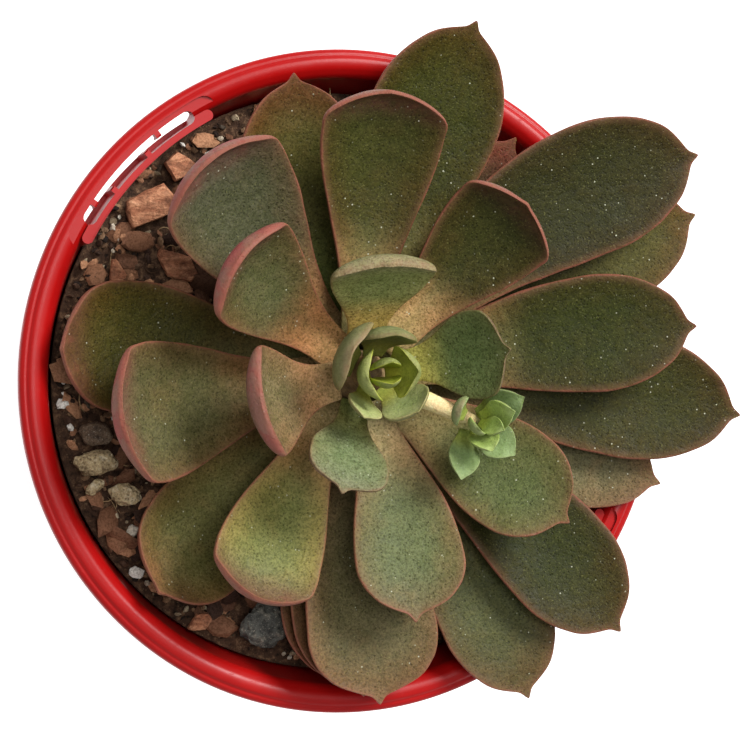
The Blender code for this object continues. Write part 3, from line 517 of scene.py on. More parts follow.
# Each leaf's colours on the screen scale: near its root, on its face, towards its tip, and
# how red its margin is.
# The face and tip colours are partly painted shade: leaves that turn away from the key light get much
# darker faces and tips than the rest, on top of each leaf's own tone.
LEAF_TONES_WITH_PAINTED_SHADE = {
    "leaf_01": ((92, 78, 48), (90, 74, 50), (104, 68, 52), 1.0),
    "leaf_02": ((92, 78, 48), (90, 74, 50), (104, 68, 52), 1.0),
    "leaf_03": ((92, 86, 54), (92, 76, 52), (98, 62, 48), 1.0),
    "leaf_04": ((102, 96, 64), (110, 104, 72), (102, 90, 62), 1.0),
    "leaf_05": ((110, 102, 60), (100, 96, 54), (104, 92, 56), 1.0),
    "leaf_06": ((110, 104, 60), (72, 68, 27), (78, 62, 28), 0.9),
    "leaf_07": ((86, 98, 44), (84, 80, 38), (86, 64, 36), 1.0),
    "leaf_08": ((100, 94, 56), (76, 78, 44), (78, 74, 44), 1.0),
    "leaf_09": ((90, 84, 52), (80, 76, 35), (76, 70, 32), 1.0),
    "leaf_10": ((110, 102, 62), (52, 52, 15), (50, 48, 14), 1.0),
    "leaf_11": ((110, 96, 66), (100, 92, 62), (98, 86, 56), 1.0),
    "leaf_12": ((116, 112, 66), (54, 56, 15), (60, 56, 16), 1.0),
    "leaf_13": ((110, 104, 66), (46, 50, 15), (56, 52, 18), 1.0),
    "leaf_14": ((140, 116, 78), (88, 84, 52), (86, 80, 56), 1.0),
    "leaf_15": ((138, 114, 76), (78, 78, 56), (78, 76, 60), 1.0),
    "leaf_16": ((150, 134, 86), (48, 52, 14), (50, 50, 16), 1.0),
    "leaf_17": ((118, 112, 70), (44, 44, 14), (48, 44, 15), 1.0),
    "leaf_18": ((160, 138, 94), (122, 124, 70), (94, 90, 64), 1.0),
    "leaf_19": ((138, 126, 82), (60, 60, 23), (56, 56, 24), 1.0),
    "leaf_20": ((150, 138, 92), (84, 92, 53), (86, 92, 56), 1.0),
    "leaf_21": ((156, 140, 98), (94, 100, 64), (96, 100, 70), 1.0),
    "leaf_22": ((168, 128, 84), (82, 82, 52), (76, 72, 48), 1.0),
    "leaf_23": ((166, 142, 96), (56, 56, 22), (46, 46, 18), 1.0),
    "leaf_24": ((184, 150, 108), (112, 100, 70), (100, 92, 70), 0.8),
    "leaf_25": ((108, 114, 64), (104, 116, 80), (106, 118, 88), 0.45),
    "leaf_26": ((190, 164, 92), (132, 140, 86), (140, 144, 108), 0.35),
    "leaf_27": ((166, 164, 84), (90, 104, 62), (88, 100, 60), 0.25),
    "heart_leaf_1": ((138, 140, 70), (126, 130, 86), (126, 130, 94), 0.35),
    "heart_leaf_2": ((130, 134, 64), (110, 120, 68), (108, 120, 72), 0.3),
    "heart_leaf_3": ((158, 164, 76), (150, 164, 108), (150, 164, 112), 0.35),
    "heart_leaf_4": ((168, 174, 82), (160, 174, 114), (160, 174, 120), 0.35),
    "heart_leaf_5": ((162, 162, 58), (154, 162, 64), (154, 162, 76), 0.1),
    "heart_leaf_6": ((174, 174, 62), (166, 176, 68), (166, 176, 84), 0.1),
    "heart_leaf_7": ((160, 162, 58), (158, 168, 60), (158, 164, 68), 0.05),
    "heart_leaf_8": ((160, 162, 58), (158, 168, 60), (158, 164, 68), 0.05),
}
# Underside and lip of the older leaves, and of the young ones
OLD_UNDER = (tone(106, 88, 74), tone(134, 90, 82))
YOUNG_UNDER = (tone(118, 126, 86), tone(122, 100, 84))
OFFSET_LOOK = ((136, 148, 70), (124, 146, 96), (126, 148, 100), 0.12)
OFFSET_HEART_LOOK = ((142, 156, 66), (146, 166, 90), (148, 166, 102), 0.06)


def leaf_colours(measures, look, curl, under_tone, bloom_tone):
    """Skin, blush and lip colours over a leaf, with the lip's strength."""
    root, face, end, _ = (np.array(tone(*c)[:3]) if hasattr(c, "__len__") else c for c in look)
    along = measures["along"][:, None]
    # face and end carry painted shade on leaves that turn away from the key light.
    skin = root + (face - root) * ease(along, 0.16, 0.52)
    skin = skin + (end - skin) * ease(along, 0.72, 0.97)
    below = (1.0 - measures["upper"])[:, None]
    under = np.array(under_tone[:3])
    skin = skin + (under - skin) * below * (0.25 + 0.45 * ease(along, 0.45, 0.9))
    flush = skin * np.array([1.32, 0.79, 0.72])
    bloom = np.broadcast_to(np.array(bloom_tone[:3]), skin.shape)
    turned_up = ease(curl, 40.0, 75.0)
    lip = ease(measures["along"], 0.83, 0.96) * (0.35 + 0.65 * below[:, 0]) * turned_up * 0.8
    return skin, flush, bloom, lip


def make_leaf(node, axis, finish, body_slot, look, rows, columns, seed, mucro):
    shape = LeafShape(node, axis)
    points, faces, measures = leaf_surface(shape, rows, columns, seed, mucro)
    leaf = smooth_object(node + "_skin", points, faces, finish, body_slot, node)
    tones = YOUNG_UNDER if finish is YOUNG_FINISH or node == "leaf_26" else OLD_UNDER
    skin, flush, bloom, lip = leaf_colours(measures, look, shape.curl, *tones)
    store(leaf, "skin", skin)
    store(leaf, "flush", flush)
    store(leaf, "bloom", bloom)
    store(leaf, "lip", lip)
    store(leaf, "edge", measures["edge"])
    store(leaf, "red", np.full(len(points), look[3]) * ease(measures["along"], 0.05, 0.30))
    return leaf


def make_leaves():
    nodes = frame["nodes"]
    stalk = frame["nodes"]["offset_stem"].data
    offset_axis = max((v.co for v in stalk.vertices), key=lambda co: co.z)
    for seed, node in enumerate(sorted(nodes)):
        if node.startswith("leaf_"):
            look = LEAF_TONES_WITH_PAINTED_SHADE[node]
            mucro = 1.6 * MM
            make_leaf(node, PLANT_AXIS, OUTER_FINISH, "outer_leaf", look, 76, 48, seed, mucro)
        elif node.startswith("heart_leaf_"):
            look = LEAF_TONES_WITH_PAINTED_SHADE[node]
            make_leaf(node, PLANT_AXIS, YOUNG_FINISH, "heart_leaf", look, 40, 32, seed, 0.5 * MM)
        elif node.startswith("offset_leaf_"):
            look = OFFSET_HEART_LOOK if node[-1] in "5678" else OFFSET_LOOK
            make_leaf(node, offset_axis, YOUNG_FINISH, "offset_leaf", look, 40, 32, seed, 0.6 * MM)


make_leaves()


# ---------------------------------------------------------------------------------------
# Pot

SEGMENTS = 240
MOUTH_RADIUS = RIM_RADIUS - 7.6 * MM
BASE_RADIUS = RIM_RADIUS - 25.0 * MM
WALL = 1.6 * MM
FLOOR = 2.2 * MM
SKIRT_WALL = 1.6 * MM
SKIRT_DROP = 7.0 * MM
SLOT_RADIUS = RIM_RADIUS - 6.5 * MM
SLOT_WIDTH = 3.4 * MM
SLOT_DROP = 11.4 * MM
SLOT_HALF_ANGLE = math.radians(13.0)
SLOT_MIDDLES = (math.radians(136.1), math.radians(316.1))
PAD_HALF_ANGLE = math.radians(16.5)
PAD_WIDTH = 6.2 * MM
PAD_DROP = 0.9 * MM
POCKET_RADIUS = RIM_RADIUS - 8.4 * MM
POCKET_WIDTH = 2.8 * MM
POCKET_DROP = 12.2 * MM
POCKET_TOP = PAD_DROP - 0.3 * MM
PEG = 1.5 * MM
OUTER_PEG_SHARES = (-0.51, 0.80)
INNER_PEG_SHARES = (-0.23, 0.48)
DRAIN_HOLES = 6
DRAIN_RADIUS = 4.5 * MM
DRAIN_CIRCLE = 40.0 * MM


def polar(radius, angle):
    return (radius * math.cos(angle), radius * math.sin(angle))


def softened(corners, radius, steps=4):
    """An open outline with each inner corner turned into a short arc."""
    outline = [corners[0]]
    for before, corner, after in zip(corners, corners[1:], corners[2:]):
        corner = Vector(corner)
        back, on = Vector(before) - corner, Vector(after) - corner
        cut = min(radius, back.length * 0.45, on.length * 0.45)
        start, end = corner + back.normalized() * cut, corner + on.normalized() * cut
        for i in range(steps + 1):
            t = i / steps
            outline.append(tuple(start.lerp(corner, t).lerp(corner.lerp(end, t), t)))
    outline.append(corners[-1])
    return outline


def pot_profile():
    """Half section of the pot, from the middle of its underside round to its inner floor."""
    top = RIM_HEIGHT
    outer_top = MOUTH_RADIUS + WALL
    foot = Vector((BASE_RADIUS, 1.5 * MM))
    below_slots = foot.lerp(Vector((outer_top, top - 4.6 * MM)), 0.87)
    shell = [
        (0.0, 0.0), (BASE_RADIUS - 1.5 * MM, 0.0), tuple(foot), tuple(below_slots),
        (outer_top, top - 4.6 * MM), (outer_top + 0.5 * MM, top - 3.2 * MM),
        (RIM_RADIUS - SKIRT_WALL - 1.4 * MM, top - 2.2 * MM),
        (RIM_RADIUS - SKIRT_WALL - 0.4 * MM, top - 3.2 * MM),
        (RIM_RADIUS - SKIRT_WALL - 0.8 * MM, top - SKIRT_DROP),
        (RIM_RADIUS - 1.0 * MM, top - SKIRT_DROP),
        (RIM_RADIUS - 0.5 * MM, top - SKIRT_DROP + 0.8 * MM),
        (RIM_RADIUS, top - 3.0 * MM), (RIM_RADIUS - 0.2 * MM, top - 1.5 * MM),
        (RIM_RADIUS - 1.2 * MM, top - 0.85 * MM), (RIM_RADIUS - 1.9 * MM, top - 0.85 * MM),
        (RIM_RADIUS - 2.6 * MM, top - 0.2 * MM), (RIM_RADIUS - 3.9 * MM, top),
        (RIM_RADIUS - 5.2 * MM, top - 0.35 * MM), (MOUTH_RADIUS + 0.9 * MM, top - 1.6 * MM),
        (MOUTH_RADIUS + 0.2 * MM, top - 2.8 * MM), (MOUTH_RADIUS, top - 4.4 * MM),
        (BASE_RADIUS - WALL, FLOOR + 1.6 * MM), (BASE_RADIUS - WALL - 1.6 * MM, FLOOR),
        (0.0, FLOOR),
    ]
    return softened(shell, 0.7 * MM)


def turned_body(profile, segments):
    """Points and faces of a profile turned about Z, closed at its two axis ends."""
    points = []
    for radius, height in profile[1:-1]:
        points += [(*polar(radius, 2 * math.pi * i / segments), height) for i in range(segments)]
    faces = loop_grid(len(profile) - 2, segments)
    points += [(0.0, 0.0, profile[0][1]), (0.0, 0.0, profile[-1][1])]
    low, high = len(points) - 2, len(points) - 1
    last = (len(profile) - 3) * segments
    faces += [(low, (i + 1) % segments, i) for i in range(segments)]
    faces += [(high, last + i, last + (i + 1) % segments) for i in range(segments)]
    return points, faces


def strip(middle, half_angle, radius, width, outer_pegs=(), inner_pegs=()):
    """Outline of a strip along the rim with round ends, with pegs left on its long edges."""
    outline = long_edge(middle, half_angle, radius + width / 2, outer_pegs, -PEG)
    for i in range(1, 10):
        centre = Vector(polar(radius, middle + half_angle))
        outline.append(tuple(centre + Vector(polar(width / 2, middle + half_angle + math.pi * i / 10))))
    outline += reversed(long_edge(middle, half_angle, radius - width / 2, inner_pegs, PEG))
    for i in range(1, 10):
        centre = Vector(polar(radius, middle - half_angle))
        turn = middle - half_angle + math.pi * (1 + i / 10)
        outline.append(tuple(centre + Vector(polar(width / 2, turn))))
    return outline


def long_edge(middle, half_angle, radius, pegs, reach):
    """One long edge of a strip, in order of growing angle."""
    peg_half = PEG / 2 / SLOT_RADIUS
    angles = [(half_angle * (2 * i / 40 - 1), 0.0) for i in range(41)]
    for share in pegs:
        at = share * half_angle
        angles = [a for a in angles if abs(a[0] - at) > 1.4 * peg_half]
        angles += [(at - peg_half, 0.0), (at - peg_half * 0.97, reach), (at + peg_half * 0.97, reach),
                   (at + peg_half, 0.0)]
    return [polar(radius + size, middle + angle) for angle, size in sorted(angles)]


def helper(name, outline, bottom, top):
    """A hidden prism for a Boolean."""
    count = len(outline)
    points = [(x, y, bottom) for x, y in outline] + [(x, y, top) for x, y in outline]
    faces = loop_grid(2, count) + [tuple(reversed(range(count))), tuple(range(count, 2 * count))]
    mesh = bpy.data.meshes.new(name)
    mesh.from_pydata(points, [], faces)
    obj = bpy.data.objects.new(name, mesh)
    bpy.context.scene.collection.objects.link(obj)
    return obj


def make_pot():
    """The fine pot: rolled rim with a groove, two pegged hanger slots, drain holes."""
    points, faces = turned_body(pot_profile(), SEGMENTS)
    mesh = bpy.data.meshes.new("pot_shell")
    mesh.from_pydata(points, [], faces)
    pot = bpy.data.objects.new("pot_shell", mesh)
    bpy.context.scene.collection.objects.link(pot)
    shapes = []
    for middle in SLOT_MIDDLES:
        pocket = strip(middle, PAD_HALF_ANGLE, POCKET_RADIUS, POCKET_WIDTH)
        shapes.append(("UNION", pocket, RIM_HEIGHT - POCKET_DROP, RIM_HEIGHT - POCKET_TOP))
        pad = strip(middle, PAD_HALF_ANGLE, SLOT_RADIUS, PAD_WIDTH)
        shapes.append(("DIFFERENCE", pad, RIM_HEIGHT - PAD_DROP, RIM_HEIGHT + 3.0 * MM))
        slot = strip(middle, SLOT_HALF_ANGLE, SLOT_RADIUS, SLOT_WIDTH, OUTER_PEG_SHARES, INNER_PEG_SHARES)
        shapes.append(("DIFFERENCE", slot, RIM_HEIGHT - SLOT_DROP, RIM_HEIGHT + 3.0 * MM))
    for index in range(DRAIN_HOLES):
        x, y = polar(DRAIN_CIRCLE, 2 * math.pi * (index + 0.37) / DRAIN_HOLES)
        hole = [(x + DRAIN_RADIUS * math.cos(a), y + DRAIN_RADIUS * math.sin(a))
                for a in np.linspace(0.05, 0.05 + 2 * math.pi, 40, endpoint=False)]
        shapes.append(("DIFFERENCE", hole, -2.0 * MM, FLOOR + 2.0 * MM))
    helpers = []
    for index, (operation, outline, bottom, top) in enumerate(shapes):
        tool = helper(f"pot_helper_{index}", outline, bottom, top)
        helpers.append(tool)
        modifier = pot.modifiers.new(tool.name, "BOOLEAN")
        modifier.operation = operation
        modifier.solver = "EXACT"
        modifier.object = tool
    bpy.context.view_layer.update()
    evaluated = pot.evaluated_get(bpy.context.evaluated_depsgraph_get())
    pot.data = bpy.data.meshes.new_from_object(evaluated)
    pot.modifiers.clear()
    for tool in helpers:
        bpy.data.objects.remove(tool)
    pot.data.materials.clear()
    pot.data.materials.append(PLASTIC)
    pot.data.shade_smooth()
    pot.data.set_sharp_from_angle(angle=math.radians(32.0))
    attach(pot, "root")
    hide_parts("pot")


make_pot()


# ---------------------------------------------------------------------------------------
# Stems and loose pieces: the CAD solids drawn finer


def stem_finish(name, low_colour, high_colour, scar_colour):
    """Corky to fleshy stem skin, ringed by old leaf scars."""
    bark = Finish(name, Specular_IOR_Level=0.2, Subsurface_Weight=0.05, Subsurface_Scale=0.002)
    place = bark.place()
    streaks = bark.noise(bark.stretched(place, (500.0, 500.0, 120.0)), 1.0, 4.0, 0.6)
    shade = bark.mix(bark.span(streaks, 0.3, 0.7), low_colour, high_colour)
    rings = bark.noise(bark.stretched(place, (60.0, 60.0, 620.0)), 1.0, 3.0, 0.6, 0.4)
    shade = bark.mix(bark.span(rings, 0.50, 0.66, 0.0, 0.6), shade, scar_colour)
    grain = bark.noise(place, 2200.0, 2.0, 0.7)
    shade = bark.mix(bark.span(grain, 0.35, 0.6, 0.4, 0.0), shade, (0.45, 0.42, 0.34), "MULTIPLY")
    normal = bark.bump(rings, 0.0006, 0.6)
    normal = bark.bump(grain, 0.0002, 0.4, normal)
    return bark.done(shade, bark.span(streaks, 0.3, 0.7, 0.5, 0.75), normal)


def bark_finish():
    """Pine bark: layered cork, orange-brown to dark, with fibrous grain along the chip."""
    bark = Finish("pine_bark", Specular_IOR_Level=0.25)
    place = bark.place()
    layers = bark.noise(bark.stretched(place, (170.0, 520.0, 700.0)), 1.0, 5.0, 0.65, 0.5)
    shade = bark.ramp(layers, (0.28, tone(96, 58, 40)), (0.45, tone(164, 106, 76)),
                      (0.62, tone(196, 138, 102)), (0.78, tone(214, 164, 126)))
    blotch = bark.noise(place, 190.0, 4.0, 0.6)
    shade = bark.mix(bark.span(blotch, 0.45, 0.70, 0.0, 0.6), shade, tone(74, 48, 36))
    grain = bark.noise(place, 1700.0, 3.0, 0.75)
    shade = bark.mix(bark.span(grain, 0.35, 0.62, 0.55, 0.0), shade, (0.3, 0.26, 0.22), "MULTIPLY")
    normal = bark.bump(layers, 0.0012, 0.8)
    normal = bark.bump(grain, 0.0003, 0.6, normal)
    return bark.done(shade, bark.span(layers, 0.3, 0.7, 0.85, 0.6), normal)


def stone_finish(name, dark, middle, light, pit_size, pit_depth):
    """A mineral piece with pits and grains at its own scale."""
    stone = Finish(name, Specular_IOR_Level=0.3)
    place = stone.place()
    broad = stone.noise(place, 240.0, 5.0, 0.7)
    shade = stone.ramp(broad, (0.30, dark), (0.52, middle), (0.72, light))
    pits = stone.cells(place, pit_size)
    # Painted shade: the pits, which the bump sinks as hollows, are darkened in the colour.
    shade = stone.mix(stone.span(pits, 0.08, 0.40, 0.75, 0.0), shade, dark)
    grain = stone.noise(place, 2400.0, 3.0, 0.8)
    shade = stone.mix(stone.span(grain, 0.34, 0.60, 0.6, 0.0), shade, (0.36, 0.32, 0.27), "MULTIPLY")
    sparkle = stone.span(stone.noise(place, 3100.0, 1.0), 0.66, 0.74, 0.0, 0.5)
    shade = stone.mix(sparkle, shade, tone(214, 204, 184))
    normal = stone.bump(pits, pit_depth, 0.8)
    normal = stone.bump(grain, 0.0003, 0.6, normal)
    return stone.done(shade, stone.span(broad, 0.3, 0.7, 0.6, 0.85), normal)


def refined(node, finish, body_slot, cuts, size, depth, seed, rounding=0.6, grooves=0.0):
    """A CAD solid subdivided, softened and roughened, standing for that node."""
    places, _ = welded(node)
    source = frame["nodes"][node].data
    raw = np.array([v.co for v in source.vertices])
    lookup = {tuple(k): i for i, k in enumerate(np.round(places / 2e-6).astype(int).tolist())}
    keys = np.round(raw / 2e-6).astype(int).tolist()
    faces = [[lookup[tuple(keys[v])] for v in f.vertices] for f in source.polygons]
    body = bmesh.new()
    verts = [body.verts.new(p) for p in places]
    for face in faces:
        if len(set(face)) == 3:
            body.faces.new([verts[v] for v in face])
    bmesh.ops.recalc_face_normals(body, faces=body.faces)
    for step in range(cuts):
        bmesh.ops.subdivide_edges(body, edges=body.edges, cuts=1, use_grid_fill=True)
        if step < 2:
            for _ in range(2):
                bmesh.ops.smooth_vert(body, verts=body.verts, factor=rounding * 0.5,
                                      use_axis_x=True, use_axis_y=True, use_axis_z=True)
    body.normal_update()
    points = np.array([v.co for v in body.verts])
    normals = np.array([v.normal for v in body.verts])
    lumps = rough_field(points, size, seed) + 0.5 * rough_field(points, size * 0.4, seed + 9)
    lumps = lumps + 0.25 * rough_field(points, size * 0.16, seed + 17)
    if grooves > 0.0:
        layered = points * np.array([1.0, 1.0, 5.0])
        lumps = lumps - grooves * np.abs(rough_field(layered, size, seed + 5))
    points = points + normals * (lumps * depth)[:, None]
    corners = [[v.index for v in f.verts] for f in body.faces]
    body.free()
    return smooth_object(node + "_fine", points, corners, finish, body_slot, node)


def make_loose_pieces():
    bark = bark_finish()
    pumice = stone_finish("pumice_stone", tone(104, 84, 58), tone(186, 164, 124), tone(232, 220, 192),
                          900.0, 0.0008)
    grey = stone_finish("grey_brown_stone", tone(62, 48, 38), tone(106, 86, 68), tone(148, 126, 104),
                        1300.0, 0.0003)
    dark = stone_finish("dark_slate", tone(42, 42, 40), tone(84, 84, 78), tone(140, 134, 120),
                        700.0, 0.0004)
    for seed, node in enumerate(sorted(frame["nodes"])):
        if node.startswith("bark_chip"):
            refined(node, bark, "bark", 4, 3.0 * MM, 0.22 * MM, seed, 0.16, 0.8)
        elif node.startswith("pumice"):
            refined(node, pumice, "pumice", 3, 1.6 * MM, 0.30 * MM, seed, 0.3)
        elif node == "grey_stone":
            refined(node, grey, "grey_rock", 3, 2.6 * MM, 0.28 * MM, seed, 0.3, 0.4)
        elif node == "dark_stone":
            refined(node, dark, "dark_rock", 4, 4.0 * MM, 0.50 * MM, seed, 0.3, 0.8)
    fleshy = stem_finish("offset_stalk_skin", tone(214, 198, 136), tone(232, 218, 166), tone(214, 178, 134))
    woody = stem_finish("stem_bark", tone(104, 84, 58), tone(146, 122, 86), tone(78, 58, 40))
    refined("offset_stem", fleshy, "stem_skin", 3, 3.0 * MM, 0.10 * MM, 3, 0.3)
    refined("stem", woody, "stem_skin", 3, 4.0 * MM, 0.22 * MM, 4, 0.2)


def make_twig():
    """A frayed, straw-coloured scrap of stalk: a bundle of split strands along the CAD twig."""
    straw = Finish("frayed_straw", Specular_IOR_Level=0.2)
    place = straw.place()
    fibres = straw.noise(straw.stretched(place, (700.0, 900.0, 1800.0)), 1.0, 4.0, 0.7)
    shade = straw.ramp(fibres, (0.3, tone(66, 48, 30)), (0.5, tone(136, 110, 72)),
                       (0.7, tone(206, 184, 138)))
    straw.done(shade, 0.8, straw.bump(fibres, 0.0004, 0.8))
    places, _ = welded("twig")
    middle = places.mean(0)
    along = np.linalg.svd(places - middle)[2][0]
    reach = (places - middle) @ along
    low, high = reach.min(), reach.max()
    points, faces = [], []
    for strand in range(26):
        start = low + (high - low) * rng.uniform(0.0, 0.45)
        end = high - (high - low) * rng.uniform(0.0, 0.45)
        offset = rng.normal(0.0, 0.55, 3) * MM
        fray = rng.normal(0.0, 0.9, 3) * MM
        path = []
        for t in np.linspace(0.0, 1.0, 9):
            spread = fray * (max(0.0, t - 0.6) ** 2 * 5.0 + max(0.0, 0.35 - t) ** 2 * 8.0)
            path.append(middle + along * (start + (end - start) * t) + offset + spread)
        add_strand(points, faces, path, rng.uniform(0.16, 0.42) * MM)
    smooth_object("twig_strands", points, faces, straw.material, "bark", "twig")


def add_strand(points, faces, path, radius, sides=5):
    """Adds a thin tapering tube along a path to lists of points and faces."""
    path = np.array(path)
    ways = unit(np.gradient(path, axis=0))
    first = len(points)
    for index, (centre, way) in enumerate(zip(path, ways)):
        across = np.cross(way, (0.13, 0.21, 0.97))
        across = across / max(np.linalg.norm(across), 1e-9)
        other = np.cross(way, across)
        t = index / (len(path) - 1)
        width = radius * (1.0 - 0.75 * abs(2.0 * t - 1.0) ** 3)
        for side in range(sides):
            angle = 2.0 * math.pi * side / sides
            points.append(centre + (across * math.cos(angle) + other * math.sin(angle)) * width)
    faces += loop_grid(len(path), sides, first)
    last = first + (len(path) - 1) * sides
    faces.append(tuple(first + side for side in reversed(range(sides))))
    faces.append(tuple(last + side for side in range(sides)))


# ---------------------------------------------------------------------------------------
# Soil

SOIL_LOW, SOIL_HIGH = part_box("soil")
SOIL_RADIUS = SOIL_HIGH.x
SOIL_LEVEL = SOIL_HIGH.z - 0.6 * MM


def soil_height(x, y):
    """The potting mix's gently uneven top, in metres."""
    return SOIL_LEVEL + 0.9 * MM * (noise.noise(Vector((x / 0.016, y / 0.016, 2.0)))
                                    + 0.55 * noise.noise(Vector((x / 0.005, y / 0.005, 7.0))))


def grit_finish(name, dark, middle, light):
    """Colours for many small grains, each with its own shade."""
    grit = Finish(name, Specular_IOR_Level=0.25)
    place = grit.place()
    shade = grit.ramp(grit.value("grain"), (0.05, dark), (0.5, middle), (0.95, light))
    fine = grit.noise(place, 1600.0, 3.0, 0.75)
    shade = grit.mix(grit.span(fine, 0.32, 0.62, 0.65, 0.0), shade, (0.30, 0.26, 0.22), "MULTIPLY")
    return grit.done(shade, grit.span(fine, 0.3, 0.7, 0.85, 0.6), grit.bump(fine, 0.0004, 0.8))


def make_soil_body():
    """The mix itself: a crumbly top over a plain tapered body inside the pot."""
    mix = Finish("potting_mix", Specular_IOR_Level=0.2)
    place = mix.place()
    crumbs = mix.noise(place, 520.0, 6.0, 0.75)
    shade = mix.ramp(crumbs, (0.32, tone(32, 22, 16)), (0.50, tone(78, 56, 42)), (0.66, tone(128, 98, 73)),
                     (0.80, tone(170, 138, 106)))
    flecks = mix.cells(place, 800.0)
    shade = mix.mix(mix.span(flecks, 0.06, 0.16, 0.5, 0.0), shade, tone(164, 138, 104))
    mix.done(shade, 0.92, mix.bump(crumbs, 0.0018, 0.9))
    rings, columns = 90, 300
    points, faces = [], []
    for ring in range(rings):
        radius = SOIL_RADIUS * (1.0 - (ring / rings) ** 1.1)
        for i in range(columns):
            angle = 2.0 * math.pi * i / columns
            x, y = radius * math.cos(angle), radius * math.sin(angle)
            crumb = noise.fractal(Vector((x, y, 0.0)) / 0.0022, 1.0, 2.0, 3)
            points.append((x, y, soil_height(x, y) + 0.55 * MM * crumb - 0.3 * MM))
    faces += loop_grid(rings, columns)
    points.append((0.0, 0.0, soil_height(0.0, 0.0)))
    faces += [(len(points) - 1, (rings - 1) * columns + i, (rings - 1) * columns + (i + 1) % columns)
              for i in range(columns)]
    first = len(points)
    levels = [(SOIL_LEVEL - 2.0 * MM, 1.0), (SOIL_LOW.z + 2.0 * MM, 0.77), (SOIL_LOW.z, 0.74)]
    for level, share in levels:
        for i in range(columns):
            angle = 2.0 * math.pi * i / columns
            radius = SOIL_RADIUS * share
            points.append((radius * math.cos(angle), radius * math.sin(angle), level))
    faces += [(i, first + i, first + (i + 1) % columns, (i + 1) % columns) for i in range(columns)]
    faces += [tuple(reversed(quad)) for quad in loop_grid(len(levels), columns, first)]
    faces.append(tuple(first + (len(levels) - 1) * columns + i for i in range(columns)))
    smooth_object("soil_bed", points, faces, mix.material, "soil_mix", "soil")


def lump(sides, flatness):
    """A small closed lump: jittered rings and two poles, about one unit across."""
    rings = []
    for level, share in ((-0.55, 0.62), (-0.1, 1.0), (0.38, 0.78)):
        for i in range(sides):
            angle = 2.0 * math.pi * (i + rng.uniform(-0.28, 0.28)) / sides
            radius = 0.5 * share * rng.uniform(0.72, 1.12)
            rings.append((radius * math.cos(angle), radius * math.sin(angle),
                          0.5 * flatness * (level + rng.uniform(-0.12, 0.12))))
    rings += [(0.0, 0.0, -0.42 * flatness), (0.0, 0.0, 0.36 * flatness)]
    faces = loop_grid(3, sides)
    low, high = len(rings) - 2, len(rings) - 1
    faces += [(low, (i + 1) % sides, i) for i in range(sides)]
    faces += [(high, 2 * sides + i, 2 * sides + (i + 1) % sides) for i in range(sides)]
    return np.array(rings), faces


def scatter(name, count, sizes, flatness, stretch, finish, body_slot, tilt, bury, sides=7):
    """Many seeded lumps lying on the mix, joined into one piece."""
    taken = [(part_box(n)[0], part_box(n)[1]) for n in frame["nodes"]
             if n.startswith(("bark_chip", "pumice", "grey_stone", "dark_stone"))]
    points, faces, grains = [], [], []
    made = 0
    while made < count:
        radius = (SOIL_RADIUS - 1.5 * MM) * math.sqrt(rng.uniform(0.03, 1.0))
        angle = rng.uniform(0.0, 2.0 * math.pi)
        x, y = radius * math.cos(angle), radius * math.sin(angle)
        size = (sizes[0] + (sizes[1] - sizes[0]) * rng.uniform(0.0, 1.0) ** 2.4) * MM
        if any(lo.x < x < hi.x and lo.y < y < hi.y for lo, hi in taken):
            continue
        if math.hypot(x - PLANT_AXIS.x, y - PLANT_AXIS.y) < 9.0 * MM:
            continue
        if math.hypot(x, y) + size * 0.6 > SOIL_RADIUS:
            continue
        shape, quads = lump(sides, flatness * rng.uniform(0.75, 1.25))
        shape = shape * np.array([stretch * rng.uniform(0.8, 1.25), 1.0, 1.0]) * size
        turn = Matrix.Rotation(rng.uniform(0.0, 2.0 * math.pi), 3, "Z")
        lean = Matrix.Rotation(rng.normal(0.0, tilt), 3, "X")
        lean = lean @ Matrix.Rotation(rng.normal(0.0, tilt), 3, "Y")
        shape = shape @ np.array(turn @ lean).T
        shape = shape + np.array([x, y, soil_height(x, y) - shape[:, 2].min() - size * flatness * bury])
        first = len(points)
        points += shape.tolist()
        faces += [tuple(first + v for v in quad) for quad in quads]
        grains += [rng.uniform(0.0, 1.0)] * len(shape)
        made += 1
    obj = smooth_object(name, points, faces, finish, body_slot, sharp=38.0)
    store(obj, "grain", grains)
    return obj


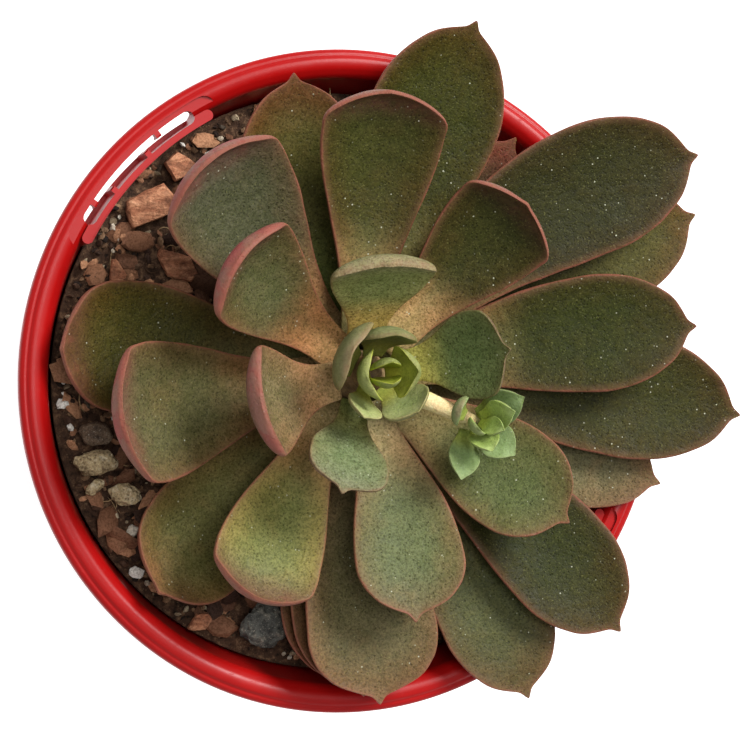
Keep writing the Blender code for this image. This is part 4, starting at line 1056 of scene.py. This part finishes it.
def make_soil_cover():
    """Bark crumbs, fine crumbs, grit, perlite and root fibres lying on the mix."""
    brown = grit_finish("bark_crumbs_brown", tone(58, 38, 28), tone(124, 84, 60), tone(190, 138, 102))
    earth = grit_finish("earth_crumbs", tone(34, 24, 18), tone(84, 60, 45), tone(150, 118, 88))
    mineral = grit_finish("mineral_grit", tone(78, 68, 56), tone(142, 124, 98), tone(202, 184, 152))
    white = grit_finish("perlite_white", tone(190, 172, 142), tone(232, 222, 202), tone(250, 246, 236))
    scatter("bark_crumbs", 1200, (1.6, 7.5), 0.42, 1.5, brown, "bark", 0.35, 0.12)
    scatter("earth_crumbs", 3400, (0.7, 2.6), 0.75, 1.15, earth, "soil_mix", 0.8, 0.25, sides=6)
    scatter("mineral_grit", 900, (0.6, 2.4), 0.72, 1.2, mineral, "grey_rock", 0.8, 0.2, sides=6)
    scatter("perlite_grains", 480, (1.2, 4.4), 0.8, 1.1, white, "pumice", 0.8, 0.02)
    fibre = grit_finish("root_fibres_straw", tone(66, 46, 32), tone(122, 92, 62), tone(184, 154, 112))
    points, faces, grains = [], [], []
    for _ in range(420):
        radius = (SOIL_RADIUS - 6.0 * MM) * math.sqrt(rng.uniform(0.05, 1.0))
        angle = rng.uniform(0.0, 2.0 * math.pi)
        x, y = radius * math.cos(angle), radius * math.sin(angle)
        heading, bend = rng.uniform(0.0, 2.0 * math.pi), rng.normal(0.0, 1.1)
        length = rng.uniform(2.5, 8.0) * MM
        path = []
        for t in np.linspace(-0.5, 0.5, 7):
            way = heading + bend * t
            px, py = x + length * t * math.cos(way), y + length * t * math.sin(way)
            path.append((px, py, soil_height(px, py) + (0.5 + 0.5 * math.cos(5.0 * t)) * MM))
        before = len(points)
        add_strand(points, faces, path, rng.uniform(0.07, 0.2) * MM, 4)
        grains += [rng.uniform(0.0, 1.0)] * (len(points) - before)
    roots = smooth_object("root_fibres", points, faces, fibre, "bark")
    store(roots, "grain", grains)


make_loose_pieces()
make_twig()
make_soil_body()
make_soil_cover()


# ---------------------------------------------------------------------------------------
# Studio


def make_studio():
    """A plain white floor, a pale surround, a soft key light from behind right and a fill."""
    floor_finish = Finish("white_floor", Roughness=0.9, Specular_IOR_Level=0.0, Emission_Strength=0.82)
    floor_finish.shader.inputs["Emission Color"].default_value = (1.0, 1.0, 1.0, 1.0)
    grain = floor_finish.noise(floor_finish.place(), 40.0, 2.0)
    shade = floor_finish.mix(floor_finish.span(grain, 0.3, 0.7), (0.50, 0.50, 0.50), (0.53, 0.53, 0.53))
    floor_finish.done(shade)
    bpy.ops.mesh.primitive_grid_add(x_subdivisions=4, y_subdivisions=4, size=6.0)
    floor = bpy.context.object
    floor.name = "studio_floor"
    floor.data.materials.append(floor_finish.material)
    world = bpy.data.worlds.new("pale_surround")
    world.use_nodes = True
    sky = world.node_tree.nodes["Background"]
    sky.inputs["Color"].default_value = (1.0, 1.0, 1.0, 1.0)
    sky.inputs["Strength"].default_value = 0.52
    bpy.context.scene.world = world
    aim = Vector((0.0, 0.0, 0.13))
    lamps = (
        ("key", (0.58, 0.62, 1.05), 0.55, 25.0),
        ("overhead", (-0.1, 0.15, 1.4), 0.5, 6.0),
    )
    for name, place, size, power in lamps:
        lamp = bpy.data.lights.new(name, "AREA")
        lamp.shape = "DISK"
        lamp.size = size
        lamp.energy = power
        holder = bpy.data.objects.new(name, lamp)
        holder.location = place
        holder.rotation_euler = (aim - Vector(place)).to_track_quat("-Z", "Y").to_euler()
        bpy.context.scene.collection.objects.link(holder)
    bpy.context.scene.view_settings.view_transform = "Standard"


def make_camera():
    """Looks down on the plant from 73 degrees up, from the pot's -X side."""
    elevation = math.radians(73.0)
    distance = 560.0 * MM
    right = Vector((math.sin(elevation), 0.0, math.cos(elevation)))
    up = Vector((0.0, 1.0, 0.0))
    back = right.cross(up)
    aim = Vector((0.0, 0.0, RIM_HEIGHT)) + right * 5.46 * MM + up * 1.53 * MM
    camera_data = bpy.data.cameras.new("camera")
    camera_data.lens = 105.36
    camera_data.sensor_width = 36.0
    camera_data.clip_start = 0.01
    camera = bpy.data.objects.new("camera", camera_data)
    turn = Matrix((right, up, back)).transposed().to_4x4()
    camera.matrix_world = Matrix.Translation(aim + back * distance) @ turn
    bpy.context.scene.collection.objects.link(camera)
    bpy.context.scene.camera = camera


make_studio()
make_camera()
